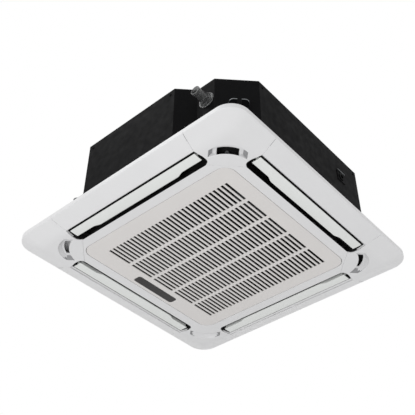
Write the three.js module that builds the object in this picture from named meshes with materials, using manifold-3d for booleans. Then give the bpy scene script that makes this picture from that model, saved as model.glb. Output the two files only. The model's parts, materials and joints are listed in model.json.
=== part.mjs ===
// Ceiling cassette air conditioner: a square body that hangs above the ceiling, and a square panel
// below it with an intake grille in the middle and an outlet slot with a swinging flap on each side.
// Millimetres, +Z up. The origin is the middle of the panel's lowest plane, which faces the room.
// The front of the unit is -Y. The four sides are built once, at the front, and turned by 90 degrees.

import * as THREE from 'three';
import { mergeVertices } from 'three/addons/utils/BufferGeometryUtils.js';
import Module from 'manifold-3d';

const wasm = await Module();
wasm.setup();

// ---------------------------------------------------------------- driving dimensions

const GAP = 0.3; // clearance between pieces that touch
const SKIN = 2.6; // wall of the moulded panel pieces

// panel
const PANEL_HALF = 350; // half of the panel's side
const PANEL_HEIGHT = 28.4; // lowest plane to ceiling
const SLOPE_WIDTH = 46; // sloping border, seen from below
const SLOPE_RISE = 16.4; // how far the border climbs to the rim
const CORNER_RADIUS = 47; // rounding of the panel's corners
const DECK_THICK = 2.6; // flat deck at the back of the panel frame
const SEAL_RECESS = 1.2; // how far the deck sinks in below the body, to hold the foam seal

// outlet slots and flaps
const SLOT_BORDER = 43; // from the panel's edge to a slot
const SLOT_END_BORDER = 147; // from the panel's edge to the end of a slot
const SLOT_WIDTH = 48;
const SLOT_OUTER = PANEL_HALF - SLOT_BORDER; // centre of panel to the slot's outer edge
const SLOT_INNER = SLOT_OUTER - SLOT_WIDTH; // centre of panel to the slot's inner edge
const SLOT_HALF = PANEL_HALF - SLOT_END_BORDER; // half length of the slot's outer edge
const SLOT_BULGE = 5; // how much longer the slot is at mid width
const SLOT_LEAN = 0.8; // inward shift of the duct for each mm of height
const FLAP_MARGIN = 9; // between the slot's outer edge and the flap
const FLAP_END_MARGIN = 5; // between the slot's end and the flap
const FLAP_WIDTH = 30;
const FLAP_OUTER = SLOT_OUTER - FLAP_MARGIN; // centre of panel to the flap's outer edge
const FLAP_INNER = FLAP_OUTER - FLAP_WIDTH; // centre of panel to the flap's inner edge
const FLAP_HALF = SLOT_HALF - FLAP_END_MARGIN; // half length of the flap
const FLAP_STEP_FAR = FLAP_HALF - 55; // where the flap's inner edge steps back, from mid length
const FLAP_STEP_NEAR = FLAP_STEP_FAR - 21;
const FLAP_STEP = 6; // depth of that step
const FLAP_LIP = 1.6; // thickness of the lip that stands on the flap's inner edge
const FLAP_LIP_MIDDLE = 6; // height of the lip's top between the steps
const FLAP_LIP_END = 14.5; // height of the lip's top beyond the steps
const FLAP_FACE_Z = 2.2; // lowest face of the flap above the panel's plane
const FLAP_THICK = 2.4;
const FLAP_CROWN = 0.8; // height of the flap's curved section
const AXIS_OUT = FLAP_OUTER - 12; // flap axis from the centre of the panel
const AXIS_Z = 14; // flap axis above the panel's plane
const FLAP_PIN_R = 2.5;
const FLAP_ARM = 3; // thickness of the arm at each end of a flap
const PIN_CLEARANCE = 0.35; // radial clearance of pins in their holes

// stepper motor of each flap
const STEPPER_R = 10;
const STEPPER_LENGTH = 14;
const STEPPER_EAR = 15;
const STEPPER_BORE_DEPTH = 6;

// corner covers with their finger scoops
const SEAM_AT_EDGE = SLOT_HALF + 8; // seam at the panel's edge, from the middle of the side
const CORNER_APEX = PANEL_HALF * Math.SQRT2 - CORNER_RADIUS * (Math.SQRT2 - 1); // along the diagonal
const SCOOP_BORDER = 91.5; // from the panel's rounded corner to the scoop
const SCOOP_WIDTH = 26;
const SCOOP_OUTER = CORNER_APEX - SCOOP_BORDER; // apex of the scoop's outer arc from the panel's centre
const SCOOP_OUTER_R = 58;
const SCOOP_INNER = SCOOP_OUTER - SCOOP_WIDTH; // apex of the scoop's inner arc
const SCOOP_INNER_R = 76;
const SCOOP_HALF_ANGLE = 0.78; // of the outer arc, radians
const SCOOP_DEPTH = 10;
const SCOOP_END = 14; // length of the scoop's sloping ends
const SCOOP_HALF = 42; // half length of the scoop
const SCOOP_WALL = 2.2;
const FINGER_HOLE_HALF = 24;
const FINGER_HOLE_WIDTH = 13;
const FINGER_LIP = 1.6; // thickness of the edge that the fingers hook over

// intake grille
const SLOT_TO_OPENING = 26;
const OPENING_HALF = SLOT_INNER - SLOT_TO_OPENING; // half side of the opening in the panel
const OPENING_RADIUS = 30;
const GRILLE_GAP = 1.2; // seam round the grille
const GRILLE_RECESS = 0.4; // the grille sits this far above the panel's lowest plane
const GRILLE_THICK = 3;
const GRILLE_CHAMFER = 1.2;
const SKIRT_HEIGHT = 9;
const SKIRT_WALL = 2;
const SLAT_PITCH = 11.92;
const SLAT_START = 54; // from the opening's edge at the window to the first slot
const SLAT_END = 42; // least distance from the last slot to the opening's other edge
const SLAT_FIRST = SLAT_START - OPENING_HALF; // middle of the first slot
const SLAT_RUN = 2 * OPENING_HALF - SLAT_START - SLAT_END;
const SLAT_SLOTS = Math.floor(SLAT_RUN / SLAT_PITCH) + 1; // slots in each band
const SLAT_WIDTH = 6.6; // width of a slot
const BAND_COUNT = 5;
const BAND_BORDER = 38; // from the opening's edge to the outermost bands
const BAND_PITCH = (2 * (OPENING_HALF - BAND_BORDER)) / BAND_COUNT;
const BAND_CENTRE = 4.2; // middle of the bands, along Y
const BAND_RIB = 8.5; // solid strip between bands
const HINGE_X = 30 - OPENING_HALF; // hinge axis of the grille
const HINGE_Z = 5;
const HINGE_PIN_R = 1.8;
const CATCH_Y = 120; // sliding catches at the grille's free edge
const CATCH_X0 = OPENING_HALF - 29.5; // slider, drawn back
const CATCH_X1 = CATCH_X0 + 20;
const CATCH_TIP = OPENING_HALF - 1.5; // end of the tongue, drawn back
const CATCH_THROW = 3.5; // travel that locks the tongue in the frame's pocket
const CATCH_HALF = 10;
const CATCH_TONGUE_HALF = 7;
const CATCH_THICK = 3;
const RAIL_X0 = CATCH_X0 - 1.5; // rails that guide the catches
const RAIL_X1 = CATCH_X1 + 4.5;

// display window in the grille
const WINDOW_X = 21.5 - OPENING_HALF;
const WINDOW_Y = 8;
const WINDOW_WIDTH = 25;
const WINDOW_LENGTH = 140;
const WINDOW_RADIUS = 7;
const WINDOW_THICK = 1.8;
const WINDOW_FLARE = 3; // bevel of the grille round the window

// air filter on the grille
const FILTER_HALF_Y = OPENING_HALF - 35;
const FILTER_X0 = 47 - OPENING_HALF;
const FILTER_X1 = OPENING_HALF - 34;
const FILTER_THICK = 4;
const FILTER_BAR = 6;
const FILTER_MESH = 0.8;

// body above the ceiling
const OVERHANG = 62.5; // how far the panel stands out past the body
const BODY_HALF = PANEL_HALF - OVERHANG;
const BODY_BOTTOM = 34.3;
const BODY_TOP = 290.3;
const SHEET = 1.2; // sheet steel
const LEFT_CUT = 103.5; // chamfer of the front left corner
const LUG_CUT = 115; // chamfer of the front right corner, which carries a hanger
const NOTCH_START = BODY_HALF - 168.8; // where the drain notch leaves the front face
const NOTCH_DEPTH = 39.5;
const REAR_NOTCH_DEPTH = 36;
const REAR_NOTCH_START = BODY_HALF - 71.5;
const LINER_THICK = 5;
const TOP_RIB = 2.4; // height of the pressed ribs in the top plate
const COIL_MARGIN = 68.5; // room for air between the body's outside and the coil
const COIL_HALF = BODY_HALF - COIL_MARGIN;

// drain pan, ducts through it and the groove under the coil
const PAN_TOP = 78;
const PAN_OPENING_HALF = COIL_HALF - 33;
const DUCT_WALL = 8; // least wall between a duct and the body's outside
const DUCT_OUTER = BODY_HALF - DUCT_WALL;
const DUCT_INNER = COIL_HALF + 20;
const DUCT_HALF = BODY_HALF - 93.5;
const DUCT_FRONT_END = NOTCH_START + 31.3; // the front duct stops here, short of the drain notch

// hangers
const LUG_Z = 178; // top of the hanger's shelf
const LUG_WIDTH = 46.6;
const LUG_REACH = 36;
const LUG_SLOT = 10.4;
const LUG_SLOT_DEPTH = 28;
const LUG_PLATE = 3;
const LUG_BACK_HALF = 30;
const LUG_BACK_HEIGHT = 70;
const LUG_FRONT_ALONG = 28.4; // how far the front hangers sit from the diagonal, along the chamfer

// wiring inlet on the right side
const CABLE_Y = BODY_HALF - 121.5;
const CABLE_Z = 212;
const CABLE_R = 9;
const INLET_HALF = 16.5; // half width of the inlet's cover plate
const INLET_TOP = 229.5;
const INLET_LIP = 4;

// panel bolts
const BOLT_AT = BODY_HALF - 47.5; // X and Y of each panel bolt
const BOLT_R = 2.5;
const BOLT_HEAD_FLATS = 9;
const BOLT_HEAD = 3.4;
const BOLT_END = BODY_BOTTOM + SHEET + 6;
const TAB_WIDTH = 34;

// coil
const COIL_THICK = 28;
const COIL_RADIUS = 120;
const COIL_BOTTOM = 66;
const COIL_TOP = BODY_TOP - 18.3;
const COIL_END = 114 - COIL_HALF; // where the coil's two ends stop
const COIL_PLATE = 2;

// bell mouth, fan and motor
const FAN_MARGIN = 26; // between the fan and the coil
const FAN_R = COIL_HALF - COIL_THICK - FAN_MARGIN;
const FAN_EYE_R = FAN_R - 20;
const BELL_THROAT_R = FAN_EYE_R - 5;
const BELL_LEVEL = 66;
const BELL_LIP = 92;
const BELL_FLARE = 22;
const FAN_BLADES = 7;
const FAN_BLADE_INNER = FAN_R - 67;
const FAN_BLADE_THICK = 3;
const FAN_BOTTOM = 90;
const FAN_PLATE_Z = 212;
const HUB_Z = 150;
const HUB_R = 42;
const DOME_R = FAN_R - 77;
const SHAFT_R = 4;
const MOTOR_R = 56;
const MOTOR_BOTTOM = 164;
const MOTOR_TOP = 238;
const MOUNT_CIRCLE = 68;
const MOUNT_R = 9;
const MOUNT_HEIGHT = 16;

// drain
const OUTLET_X = BODY_HALF - 100.1;
const OUTLET_Z = 226;
const OUTLET_R = 12.5;
const OUTLET_BORE = 10;
const OUTLET_REACH = 42;
const OUTLET_FLANGE_R = 22;
const PUMP_X = BODY_HALF - 91.6;
const PUMP_Y = 74.7 - BODY_HALF;
const PUMP_R = 20;
const PUMP_LEG_R = 13;
const IMPELLER_R = 10;
const FLOAT_X = BODY_HALF - 63.5;
const FLOAT_Y = 100.5 - BODY_HALF;
const FLOAT_R = 8;
const FLOAT_STEM_R = 2.5;
const FLOAT_TRAVEL = 12;
const SUMP_FLOOR = 52;

// refrigerant pipes
const GAS_X = 137.5 - BODY_HALF;
const GAS_R = 6.35;
const GAS_Z = 205;
const LIQUID_X = GAS_X + 32;
const LIQUID_R = 3.2;
const LIQUID_Z = 172;
const PIPE_END_Y = BODY_HALF + 48.5;
const NUT_LENGTH = 22;

// control box
const BOX_X1 = PAN_OPENING_HALF - 4;
const BOX_X0 = BOX_X1 - 35;
const BOX_END_MARGIN = 72; // keeps the box clear of the pan opening's rounded corners
const BOX_HALF_Y = PAN_OPENING_HALF - BOX_END_MARGIN;
const BOX_BOTTOM = 38;
const BOX_WALL = 1.5;

// ---------------------------------------------------------------- materials

function finish(color, roughness, metalness = 0) {
  return new THREE.MeshStandardMaterial({ color, roughness, metalness });
}

const MATERIAL = {
  panel: finish(0xe3e3e4, 0.42),
  grille: finish(0xdedbd9, 0.45),
  flap: finish(0xe8eae8, 0.4),
  window: finish(0x343233, 0.18),
  casing: finish(0x1f1f21, 0.55, 0.3),
  foam: finish(0x2a2a2b, 0.95),
  pan: finish(0x1c1c1d, 0.8),
  bell: finish(0x222224, 0.6),
  fan: finish(0x2b2d30, 0.5),
  filter: finish(0x17181a, 0.7),
  lug: finish(0x5d5f60, 0.4, 0.8),
  steel: finish(0xb4b6b8, 0.35, 0.9),
  motor: finish(0x9a9ca0, 0.4, 0.8),
  rubber: finish(0x161616, 0.9),
  coil: finish(0xb9bcc0, 0.4, 0.9),
  copper: finish(0xb4693c, 0.35, 0.9),
  brass: finish(0xc0a25a, 0.35, 0.9),
  drain: finish(0xb9bdc0, 0.3),
  pump: finish(0xe6e6e2, 0.5),
  box: finish(0x6d6f72, 0.5, 0.5),
  board: finish(0x1f5b39, 0.5),
  terminal: finish(0xcfcabc, 0.5),
};

// ---------------------------------------------------------------- solids and booleans

function toSolid(geometry) {
  const bare = geometry.clone();
  bare.deleteAttribute('normal');
  bare.deleteAttribute('uv');
  const merged = mergeVertices(bare, 1e-4);
  const vertProperties = new Float32Array(merged.attributes.position.array);
  const triVerts = new Uint32Array(merged.index.array);
  return new wasm.Manifold(new wasm.Mesh({ numProp: 3, vertProperties, triVerts }));
}

function toGeometry(solid) {
  const mesh = solid.getMesh();
  const geometry = new THREE.BufferGeometry();
  geometry.setAttribute('position', new THREE.BufferAttribute(mesh.vertProperties, 3));
  geometry.setIndex(new THREE.BufferAttribute(mesh.triVerts, 1));
  geometry.computeVertexNormals();
  return geometry;
}

function join(...geometries) {
  const solids = geometries.map(toSolid);
  return toGeometry(solids.reduce((sum, next) => sum.add(next)));
}

function cut(base, ...tools) {
  const solids = tools.map(toSolid);
  return toGeometry(solids.reduce((rest, next) => rest.subtract(next), toSolid(base)));
}

function common(first, second) {
  return toGeometry(toSolid(first).intersect(toSolid(second)));
}

// ---------------------------------------------------------------- basic shapes

function box(x0, x1, y0, y1, z0, z1) {
  const geometry = new THREE.BoxGeometry(x1 - x0, y1 - y0, z1 - z0);
  return geometry.translate((x0 + x1) / 2, (y0 + y1) / 2, (z0 + z1) / 2);
}

function prism(shape, z0, z1, curveSegments = 5) {
  const settings = { depth: z1 - z0, bevelEnabled: false, curveSegments };
  return new THREE.ExtrudeGeometry(shape, settings).translate(0, 0, z0);
}

function rodZ(x, y, r, z0, z1, sides = 16) {
  const geometry = new THREE.CylinderGeometry(r, r, z1 - z0, sides).rotateX(Math.PI / 2);
  return geometry.translate(x, y, (z0 + z1) / 2);
}

function rodY(x, z, r, y0, y1, sides = 16) {
  return new THREE.CylinderGeometry(r, r, y1 - y0, sides).translate(x, (y0 + y1) / 2, z);
}

function rodX(y, z, r, x0, x1, sides = 16) {
  const geometry = new THREE.CylinderGeometry(r, r, x1 - x0, sides).rotateZ(Math.PI / 2);
  return geometry.translate((x0 + x1) / 2, y, z);
}

// A closed profile of [radius, z] points turned about Z.
function turned(profile, sides = 26) {
  const points = profile.map(([r, z]) => new THREE.Vector2(r, z));
  points.push(points[0].clone());
  return new THREE.LatheGeometry(points, sides).rotateX(Math.PI / 2);
}

function outline(points) {
  return new THREE.Shape(points.map(([x, y]) => new THREE.Vector2(x, y)));
}

function roundedSquare(half, radius, halfY = half) {
  const shape = new THREE.Shape();
  const ex = half - radius;
  const ey = halfY - radius;
  shape.absarc(ex, ey, radius, 0, Math.PI / 2);
  shape.absarc(-ex, ey, radius, Math.PI / 2, Math.PI);
  shape.absarc(-ex, -ey, radius, Math.PI, 1.5 * Math.PI);
  shape.absarc(ex, -ey, radius, 1.5 * Math.PI, 2 * Math.PI);
  return shape;
}

function squareRing(outerHalf, outerRadius, innerHalf, innerRadius) {
  const shape = roundedSquare(outerHalf, outerRadius);
  shape.holes.push(roundedSquare(innerHalf, innerRadius));
  return shape;
}

function regular(sides, acrossFlats) {
  const r = acrossFlats / 2 / Math.cos(Math.PI / sides);
  const corner = (i) => [r * Math.cos((2 * Math.PI * i) / sides), r * Math.sin((2 * Math.PI * i) / sides)];
  return outline(Array.from({ length: sides }, (_, i) => corner(i)));
}

function arc(cx, cy, r, a0, a1, steps) {
  const at = (i) => a0 + ((a1 - a0) * i) / steps;
  return Array.from({ length: steps + 1 }, (_, i) => [cx + r * Math.cos(at(i)), cy + r * Math.sin(at(i))]);
}

// Moves every edge of a counter-clockwise outline inwards by d.
function inset(points, d) {
  const edges = points.map(([x, y], i) => {
    const [nx, ny] = points[(i + 1) % points.length];
    const length = Math.hypot(nx - x, ny - y);
    const dir = [(nx - x) / length, (ny - y) / length];
    return { at: [x - dir[1] * d, y + dir[0] * d], dir };
  });
  return edges.map((edge, i) => {
    const last = edges[(i + edges.length - 1) % edges.length];
    const cross = last.dir[0] * edge.dir[1] - last.dir[1] * edge.dir[0];
    const dx = edge.at[0] - last.at[0];
    const dy = edge.at[1] - last.at[1];
    const t = (dx * edge.dir[1] - dy * edge.dir[0]) / cross;
    return [last.at[0] + last.dir[0] * t, last.at[1] + last.dir[1] * t];
  });
}

function sweep(points, radius, steps, sides = 10) {
  const extrudePath = new THREE.CatmullRomCurve3(points.map((p) => new THREE.Vector3(...p)));
  const section = outline(arc(0, 0, radius, 0, 2 * Math.PI, sides).slice(0, sides));
  return new THREE.ExtrudeGeometry(section, { steps, extrudePath });
}

function turnZ(geometry, quarterTurns) {
  return geometry.rotateZ((quarterTurns * Math.PI) / 2);
}

const UP = new THREE.Vector3(0, 0, 1);
const QUARTERS = [0, 1, 2, 3];

function aroundFour(make) {
  return QUARTERS.map((k) => turnZ(make(), k));
}

// ---------------------------------------------------------------- scene graph

const model = new THREE.Group();

function part(name, geometry, material, parent = model) {
  const mesh = new THREE.Mesh(geometry, material);
  mesh.name = name;
  parent.add(mesh);
  return mesh;
}

// ---------------------------------------------------------------- body outline

const CHAMFER_SUM = 2 * BODY_HALF - LUG_CUT; // x - y along the hanger's chamfer
const NOTCH_Y = -(BODY_HALF - NOTCH_DEPTH);
const REAR_NOTCH_Y = BODY_HALF - REAR_NOTCH_DEPTH;

const BODY_OUTLINE = [
  [-(BODY_HALF - LEFT_CUT), -BODY_HALF],
  [NOTCH_START, -BODY_HALF],
  [NOTCH_START + NOTCH_DEPTH, NOTCH_Y],
  [CHAMFER_SUM + NOTCH_Y, NOTCH_Y],
  [BODY_HALF, BODY_HALF - CHAMFER_SUM],
  [BODY_HALF, REAR_NOTCH_Y],
  [REAR_NOTCH_START, REAR_NOTCH_Y],
  [REAR_NOTCH_START - REAR_NOTCH_DEPTH, BODY_HALF],
  [-(REAR_NOTCH_START - REAR_NOTCH_DEPTH), BODY_HALF],
  [-REAR_NOTCH_START, REAR_NOTCH_Y],
  [-BODY_HALF, REAR_NOTCH_Y],
  [-BODY_HALF, -(BODY_HALF - LEFT_CUT)],
];

function bodyPrism(insetBy, z0, z1) {
  return prism(outline(inset(BODY_OUTLINE, insetBy)), z0, z1);
}

const TOP_PLATE_Z = BODY_TOP - TOP_RIB - SHEET;

// Holes in the rear wall, liner and cover plate for the two refrigerant pipes.
function pipeHoles(y0, y1, clearance = 1.5) {
  const gas = rodY(GAS_X, GAS_Z, GAS_R + clearance, y0, y1, 16);
  const liquid = rodY(LIQUID_X, LIQUID_Z, LIQUID_R + clearance, y0, y1, 12);
  return [gas, liquid];
}

function drainHole() {
  return rodY(OUTLET_X, OUTLET_Z, OUTLET_R + GAP, NOTCH_Y - 4, NOTCH_Y + 12);
}

// ---------------------------------------------------------------- casing

function casingSide() {
  const shell = cut(
    bodyPrism(0, BODY_BOTTOM, TOP_PLATE_Z - GAP),
    bodyPrism(SHEET, BODY_BOTTOM - 1, TOP_PLATE_Z + 1),
  );
  const top = BODY_BOTTOM + SHEET;
  const foot = cut(bodyPrism(0.4, BODY_BOTTOM, top), bodyPrism(6, 0, BODY_TOP));
  const frontTabs = [-1, 1].map((side) => {
    const tab = box(-TAB_WIDTH / 2, TAB_WIDTH / 2, -26, 12, BODY_BOTTOM, top);
    return tab.rotateZ(Math.PI + (side * Math.PI) / 4).translate(side * BOLT_AT, -BOLT_AT, 0);
  });
  const rearTabs = [-1, 1].map((side) => {
    const x = side * (BODY_HALF - 34);
    return box(x - 33, x + 33, BOLT_AT - 14, REAR_NOTCH_Y - 0.4, BODY_BOTTOM, top);
  });
  const walls = join(shell, foot, ...frontTabs, ...rearTabs);
  const holes = [drainHole(), ...pipeHoles(BODY_HALF - 3, BODY_HALF + 1), cableHole(GAP)];
  return cut(walls, ...boltHoles(BOLT_R + PIN_CLEARANCE, 0, top + 1), ...holes);
}

function boltHoles(r, z0, z1) {
  return aroundFour(() => rodZ(BOLT_AT, -BOLT_AT, r, z0, z1, 12));
}

function cableHole(clearance) {
  return rodX(CABLE_Y, CABLE_Z, CABLE_R + clearance, BODY_HALF - 12, BODY_HALF + 1, 16);
}

function casingTop() {
  const plate = bodyPrism(0, TOP_PLATE_Z, TOP_PLATE_Z + SHEET);
  const ribs = [0, 1].map((k) => {
    const rib = box(-210, 210, -9, 9, TOP_PLATE_Z + SHEET / 2, BODY_TOP);
    return rib.rotateZ(Math.PI / 4 + (k * Math.PI) / 2);
  });
  const low = TOP_PLATE_Z + SHEET / 2;
  const ring = turned([[96, low], [114, low], [114, BODY_TOP], [96, BODY_TOP]]);
  return join(plate, ...ribs, ring);
}

function insulationLiner() {
  const outer = bodyPrism(SHEET + GAP, PAN_TOP + GAP, TOP_PLATE_Z - 2 * GAP);
  const inner = bodyPrism(SHEET + LINER_THICK, PAN_TOP, TOP_PLATE_Z);
  return cut(outer, inner, ...pipeHoles(BODY_HALF - 12, BODY_HALF), drainHole(), cableHole(1));
}

// Cover plate of the wiring inlet, with a lip along its top edge and a sleeve through the wall.
function wiringInlet() {
  const face = BODY_HALF + GAP;
  const low = CABLE_Y - INLET_HALF;
  const high = CABLE_Y + INLET_HALF;
  const plate = box(face, face + 1.5, low, high, CABLE_Z - INLET_HALF, INLET_TOP);
  const lip = box(face, face + INLET_LIP, low, high, INLET_TOP - 2, INLET_TOP);
  const collar = rodX(CABLE_Y, CABLE_Z, CABLE_R + 2, face, face + INLET_LIP);
  const sleeve = rodX(CABLE_Y, CABLE_Z, CABLE_R, BODY_HALF - 9, face + 1);
  const bore = rodX(CABLE_Y, CABLE_Z, CABLE_R - 3, BODY_HALF - 20, BODY_HALF + 20, 16);
  return cut(join(plate, lip, collar, sleeve), bore);
}

// One hanger: a back plate on the wall and a slotted shelf for the ceiling rod, pointing to -Y.
function hangerLug() {
  const back = box(
    -LUG_BACK_HALF, LUG_BACK_HALF, -LUG_PLATE, 0, LUG_Z - LUG_BACK_HEIGHT / 2, LUG_Z + LUG_BACK_HEIGHT / 2,
  );
  const half = LUG_WIDTH / 2;
  const tip = 10;
  const shelfOutline = [
    [half, -1],
    [-half, -1],
    ...arc(-half + tip, -LUG_REACH + tip, tip, Math.PI, 1.5 * Math.PI, 4),
    ...arc(half - tip, -LUG_REACH + tip, tip, 1.5 * Math.PI, 2 * Math.PI, 4),
  ];
  const shelf = prism(outline(shelfOutline), LUG_Z - LUG_PLATE, LUG_Z);
  const slotEnd = -LUG_REACH + LUG_SLOT_DEPTH - LUG_SLOT / 2;
  const slotOutline = [
    [-LUG_SLOT / 2, -LUG_REACH - 1],
    [LUG_SLOT / 2, -LUG_REACH - 1],
    ...arc(0, slotEnd, LUG_SLOT / 2, 0, Math.PI, 6),
  ];
  const slot = prism(outline(slotOutline), LUG_Z - LUG_PLATE - 1, LUG_Z + 1);
  const gusset = (x) => {
    const web = prism(outline([[-1, 0], [-LUG_REACH + 10, 0], [-1, 26]]), 0, LUG_PLATE);
    web.rotateX(Math.PI / 2).rotateZ(Math.PI / 2);
    return web.translate(x - LUG_PLATE, 0, LUG_Z - 1);
  };
  return cut(join(back, shelf, gusset(half), gusset(-half + LUG_PLATE)), slot);
}

function addLugs() {
  const s = Math.SQRT1_2;
  const right = CHAMFER_SUM * s + GAP;
  const left = (2 * BODY_HALF - LEFT_CUT) * s + GAP;
  const rearX = REAR_NOTCH_START + LUG_BACK_HALF + 1;
  const places = [
    ['hanger_lug_front_right', (right + LUG_FRONT_ALONG) * s, (LUG_FRONT_ALONG - right) * s, Math.PI / 4],
    ['hanger_lug_front_left', -(left + LUG_FRONT_ALONG) * s, (LUG_FRONT_ALONG - left) * s, -Math.PI / 4],
    ['hanger_lug_rear_right', rearX, REAR_NOTCH_Y + GAP, Math.PI],
    ['hanger_lug_rear_left', -rearX, REAR_NOTCH_Y + GAP, Math.PI],
  ];
  for (const [name, x, y, turn] of places) {
    const lug = part(name, hangerLug(), MATERIAL.lug);
    lug.position.set(x, y, 0);
    lug.rotation.z = turn;
  }
}

// ---------------------------------------------------------------- drain pan and coil

function coilRing(grow, z0, z1) {
  const outer = COIL_HALF + grow;
  const inner = COIL_HALF - COIL_THICK - grow;
  const innerRadius = COIL_RADIUS - COIL_THICK;
  return prism(squareRing(outer, COIL_RADIUS + grow, inner, innerRadius - grow), z0, z1, 6);
}

// The four air ducts between panel and body, kept clear of the body's outline.
function ducts(z0, z1) {
  return QUARTERS.map((k) => {
    const end = k === 0 ? DUCT_FRONT_END : DUCT_HALF;
    const duct = turnZ(box(-DUCT_HALF, end, -DUCT_OUTER, -DUCT_INNER, z0, z1), k);
    return common(duct, bodyPrism(DUCT_WALL, z0 - 1, z1 + 1));
  });
}

function drainPan() {
  const above = PAN_TOP + 1;
  const grooveFloor = COIL_BOTTOM - GAP;
  const block = bodyPrism(SHEET + GAP, BODY_BOTTOM + SHEET + GAP, PAN_TOP);
  const opening = prism(roundedSquare(PAN_OPENING_HALF, COIL_RADIUS - COIL_THICK), 0, above);
  const groove = coilRing(3, grooveFloor, above);
  const sump = rodZ(PUMP_X, PUMP_Y, PUMP_LEG_R + 4, SUMP_FLOOR, above);
  const floatWell = rodZ(FLOAT_X, FLOAT_Y, FLOAT_R + 3, SUMP_FLOOR, above);
  const middle = (PUMP_Y + FLOAT_Y) / 2;
  const link = box(PUMP_X, FLOAT_X, middle - 8, middle + 8, SUMP_FLOOR, above);
  const channel = box(PUMP_X - 18, PUMP_X, PUMP_Y + 9, PUMP_Y + 29, grooveFloor - 3, above);
  const bolts = boltHoles(BOLT_R + 2, 0, BOLT_END + 3);
  return cut(block, opening, ...ducts(0, above), groove, sump, floatWell, link, channel, ...bolts);
}

// The finned coil runs round the fan and is open at the rear left corner, where its tubes end.
function coil() {
  const ring = coilRing(0, COIL_BOTTOM, COIL_TOP);
  const open = box(-BODY_HALF, COIL_END, -COIL_END, BODY_HALF, 0, BODY_TOP);
  return cut(ring, open);
}

function returnBend(z) {
  const half = [[-7, 0.6, z], [-7, 10, z], [-4.2, 16.6, z]];
  const other = half.map(([x, y]) => [-x, y, z]).reverse();
  return sweep([...half, [0, 18.5, z], ...other], 3.2, 7, 5);
}

// A tube sheet with its row of return bends, standing off the coil's end towards +Y.
function coilEndPlate() {
  const half = COIL_THICK / 2 + 1;
  const plate = box(-half, half, 0, COIL_PLATE, COIL_BOTTOM, COIL_TOP);
  const bends = Array.from({ length: 6 }, (_, i) => returnBend(COIL_BOTTOM + 22 + i * 30));
  return join(plate, ...bends);
}

function addCoil() {
  part('coil', coil(), MATERIAL.coil);
  const middle = COIL_HALF - COIL_THICK / 2;
  const rear = part('coil_end_plate_rear', coilEndPlate(), MATERIAL.copper);
  rear.position.set(COIL_END - GAP, middle, 0);
  rear.rotation.z = Math.PI / 2;
  const left = part('coil_end_plate_left', coilEndPlate(), MATERIAL.copper);
  left.position.set(-middle, -COIL_END + GAP, 0);
}

// ---------------------------------------------------------------- bell mouth, fan and motor

function bellMouth() {
  const top = BELL_LEVEL + SHEET;
  const flareR = BELL_THROAT_R + BELL_FLARE;
  const outside = arc(flareR, top + BELL_FLARE, BELL_FLARE, 1.5 * Math.PI, Math.PI, 4);
  const inside = arc(flareR, top + BELL_FLARE, BELL_FLARE + SHEET, Math.PI, 1.5 * Math.PI, 4);
  const profile = [[flareR + 12, top], ...outside, [BELL_THROAT_R, BELL_LIP],
    [BELL_THROAT_R - SHEET, BELL_LIP], ...inside, [flareR + 12, BELL_LEVEL]];
  const half = PAN_OPENING_HALF - GAP;
  const radius = COIL_RADIUS - COIL_THICK;
  const sheet = prism(roundedSquare(half, radius), BELL_LEVEL, top);
  const hole = rodZ(0, 0, flareR + 6, 0, BODY_TOP, 26);
  return join(cut(sheet, hole), turned(profile));
}

function fanBlade() {
  const middle = new THREE.QuadraticBezierCurve(
    new THREE.Vector2(FAN_BLADE_INNER, 0),
    new THREE.Vector2(FAN_BLADE_INNER + 36, -8),
    new THREE.Vector2((FAN_R - 3) * Math.cos(0.62), -(FAN_R - 3) * Math.sin(0.62)),
  );
  const steps = 4;
  const side = (way) => Array.from({ length: steps + 1 }, (_, i) => {
    const at = middle.getPoint(i / steps);
    const along = middle.getTangent(i / steps);
    return [at.x - way * along.y * (FAN_BLADE_THICK / 2), at.y + way * along.x * (FAN_BLADE_THICK / 2)];
  });
  return prism(outline([...side(-1), ...side(1).reverse()]), FAN_BOTTOM + 14, FAN_PLATE_Z + 1);
}

function turboFan() {
  const t = 2;
  const hub = turned([
    [SHAFT_R + PIN_CLEARANCE, HUB_Z - 14], [SHAFT_R + 7, HUB_Z - 14], [SHAFT_R + 9, HUB_Z - t],
    [HUB_R, HUB_Z - t], [DOME_R, FAN_PLATE_Z - t], [FAN_R, FAN_PLATE_Z - t],
    [FAN_R, FAN_PLATE_Z], [DOME_R, FAN_PLATE_Z], [HUB_R, HUB_Z + t], [SHAFT_R + PIN_CLEARANCE, HUB_Z + t],
  ]);
  const shroud = turned([
    [FAN_EYE_R, FAN_BOTTOM - 8], [FAN_EYE_R + t, FAN_BOTTOM - 8], [FAN_EYE_R + 3, FAN_BOTTOM + 6],
    [FAN_EYE_R + 9, FAN_BOTTOM + 16], [FAN_R, FAN_BOTTOM + 24], [FAN_R, FAN_BOTTOM + 26.4],
    [FAN_EYE_R + 6, FAN_BOTTOM + 17], [FAN_EYE_R, FAN_BOTTOM + 6],
  ]);
  const pitch = (2 * Math.PI) / FAN_BLADES;
  const blades = Array.from({ length: FAN_BLADES }, (_, i) => fanBlade().rotateZ(pitch * i));
  return join(hub, shroud, ...blades);
}

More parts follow.
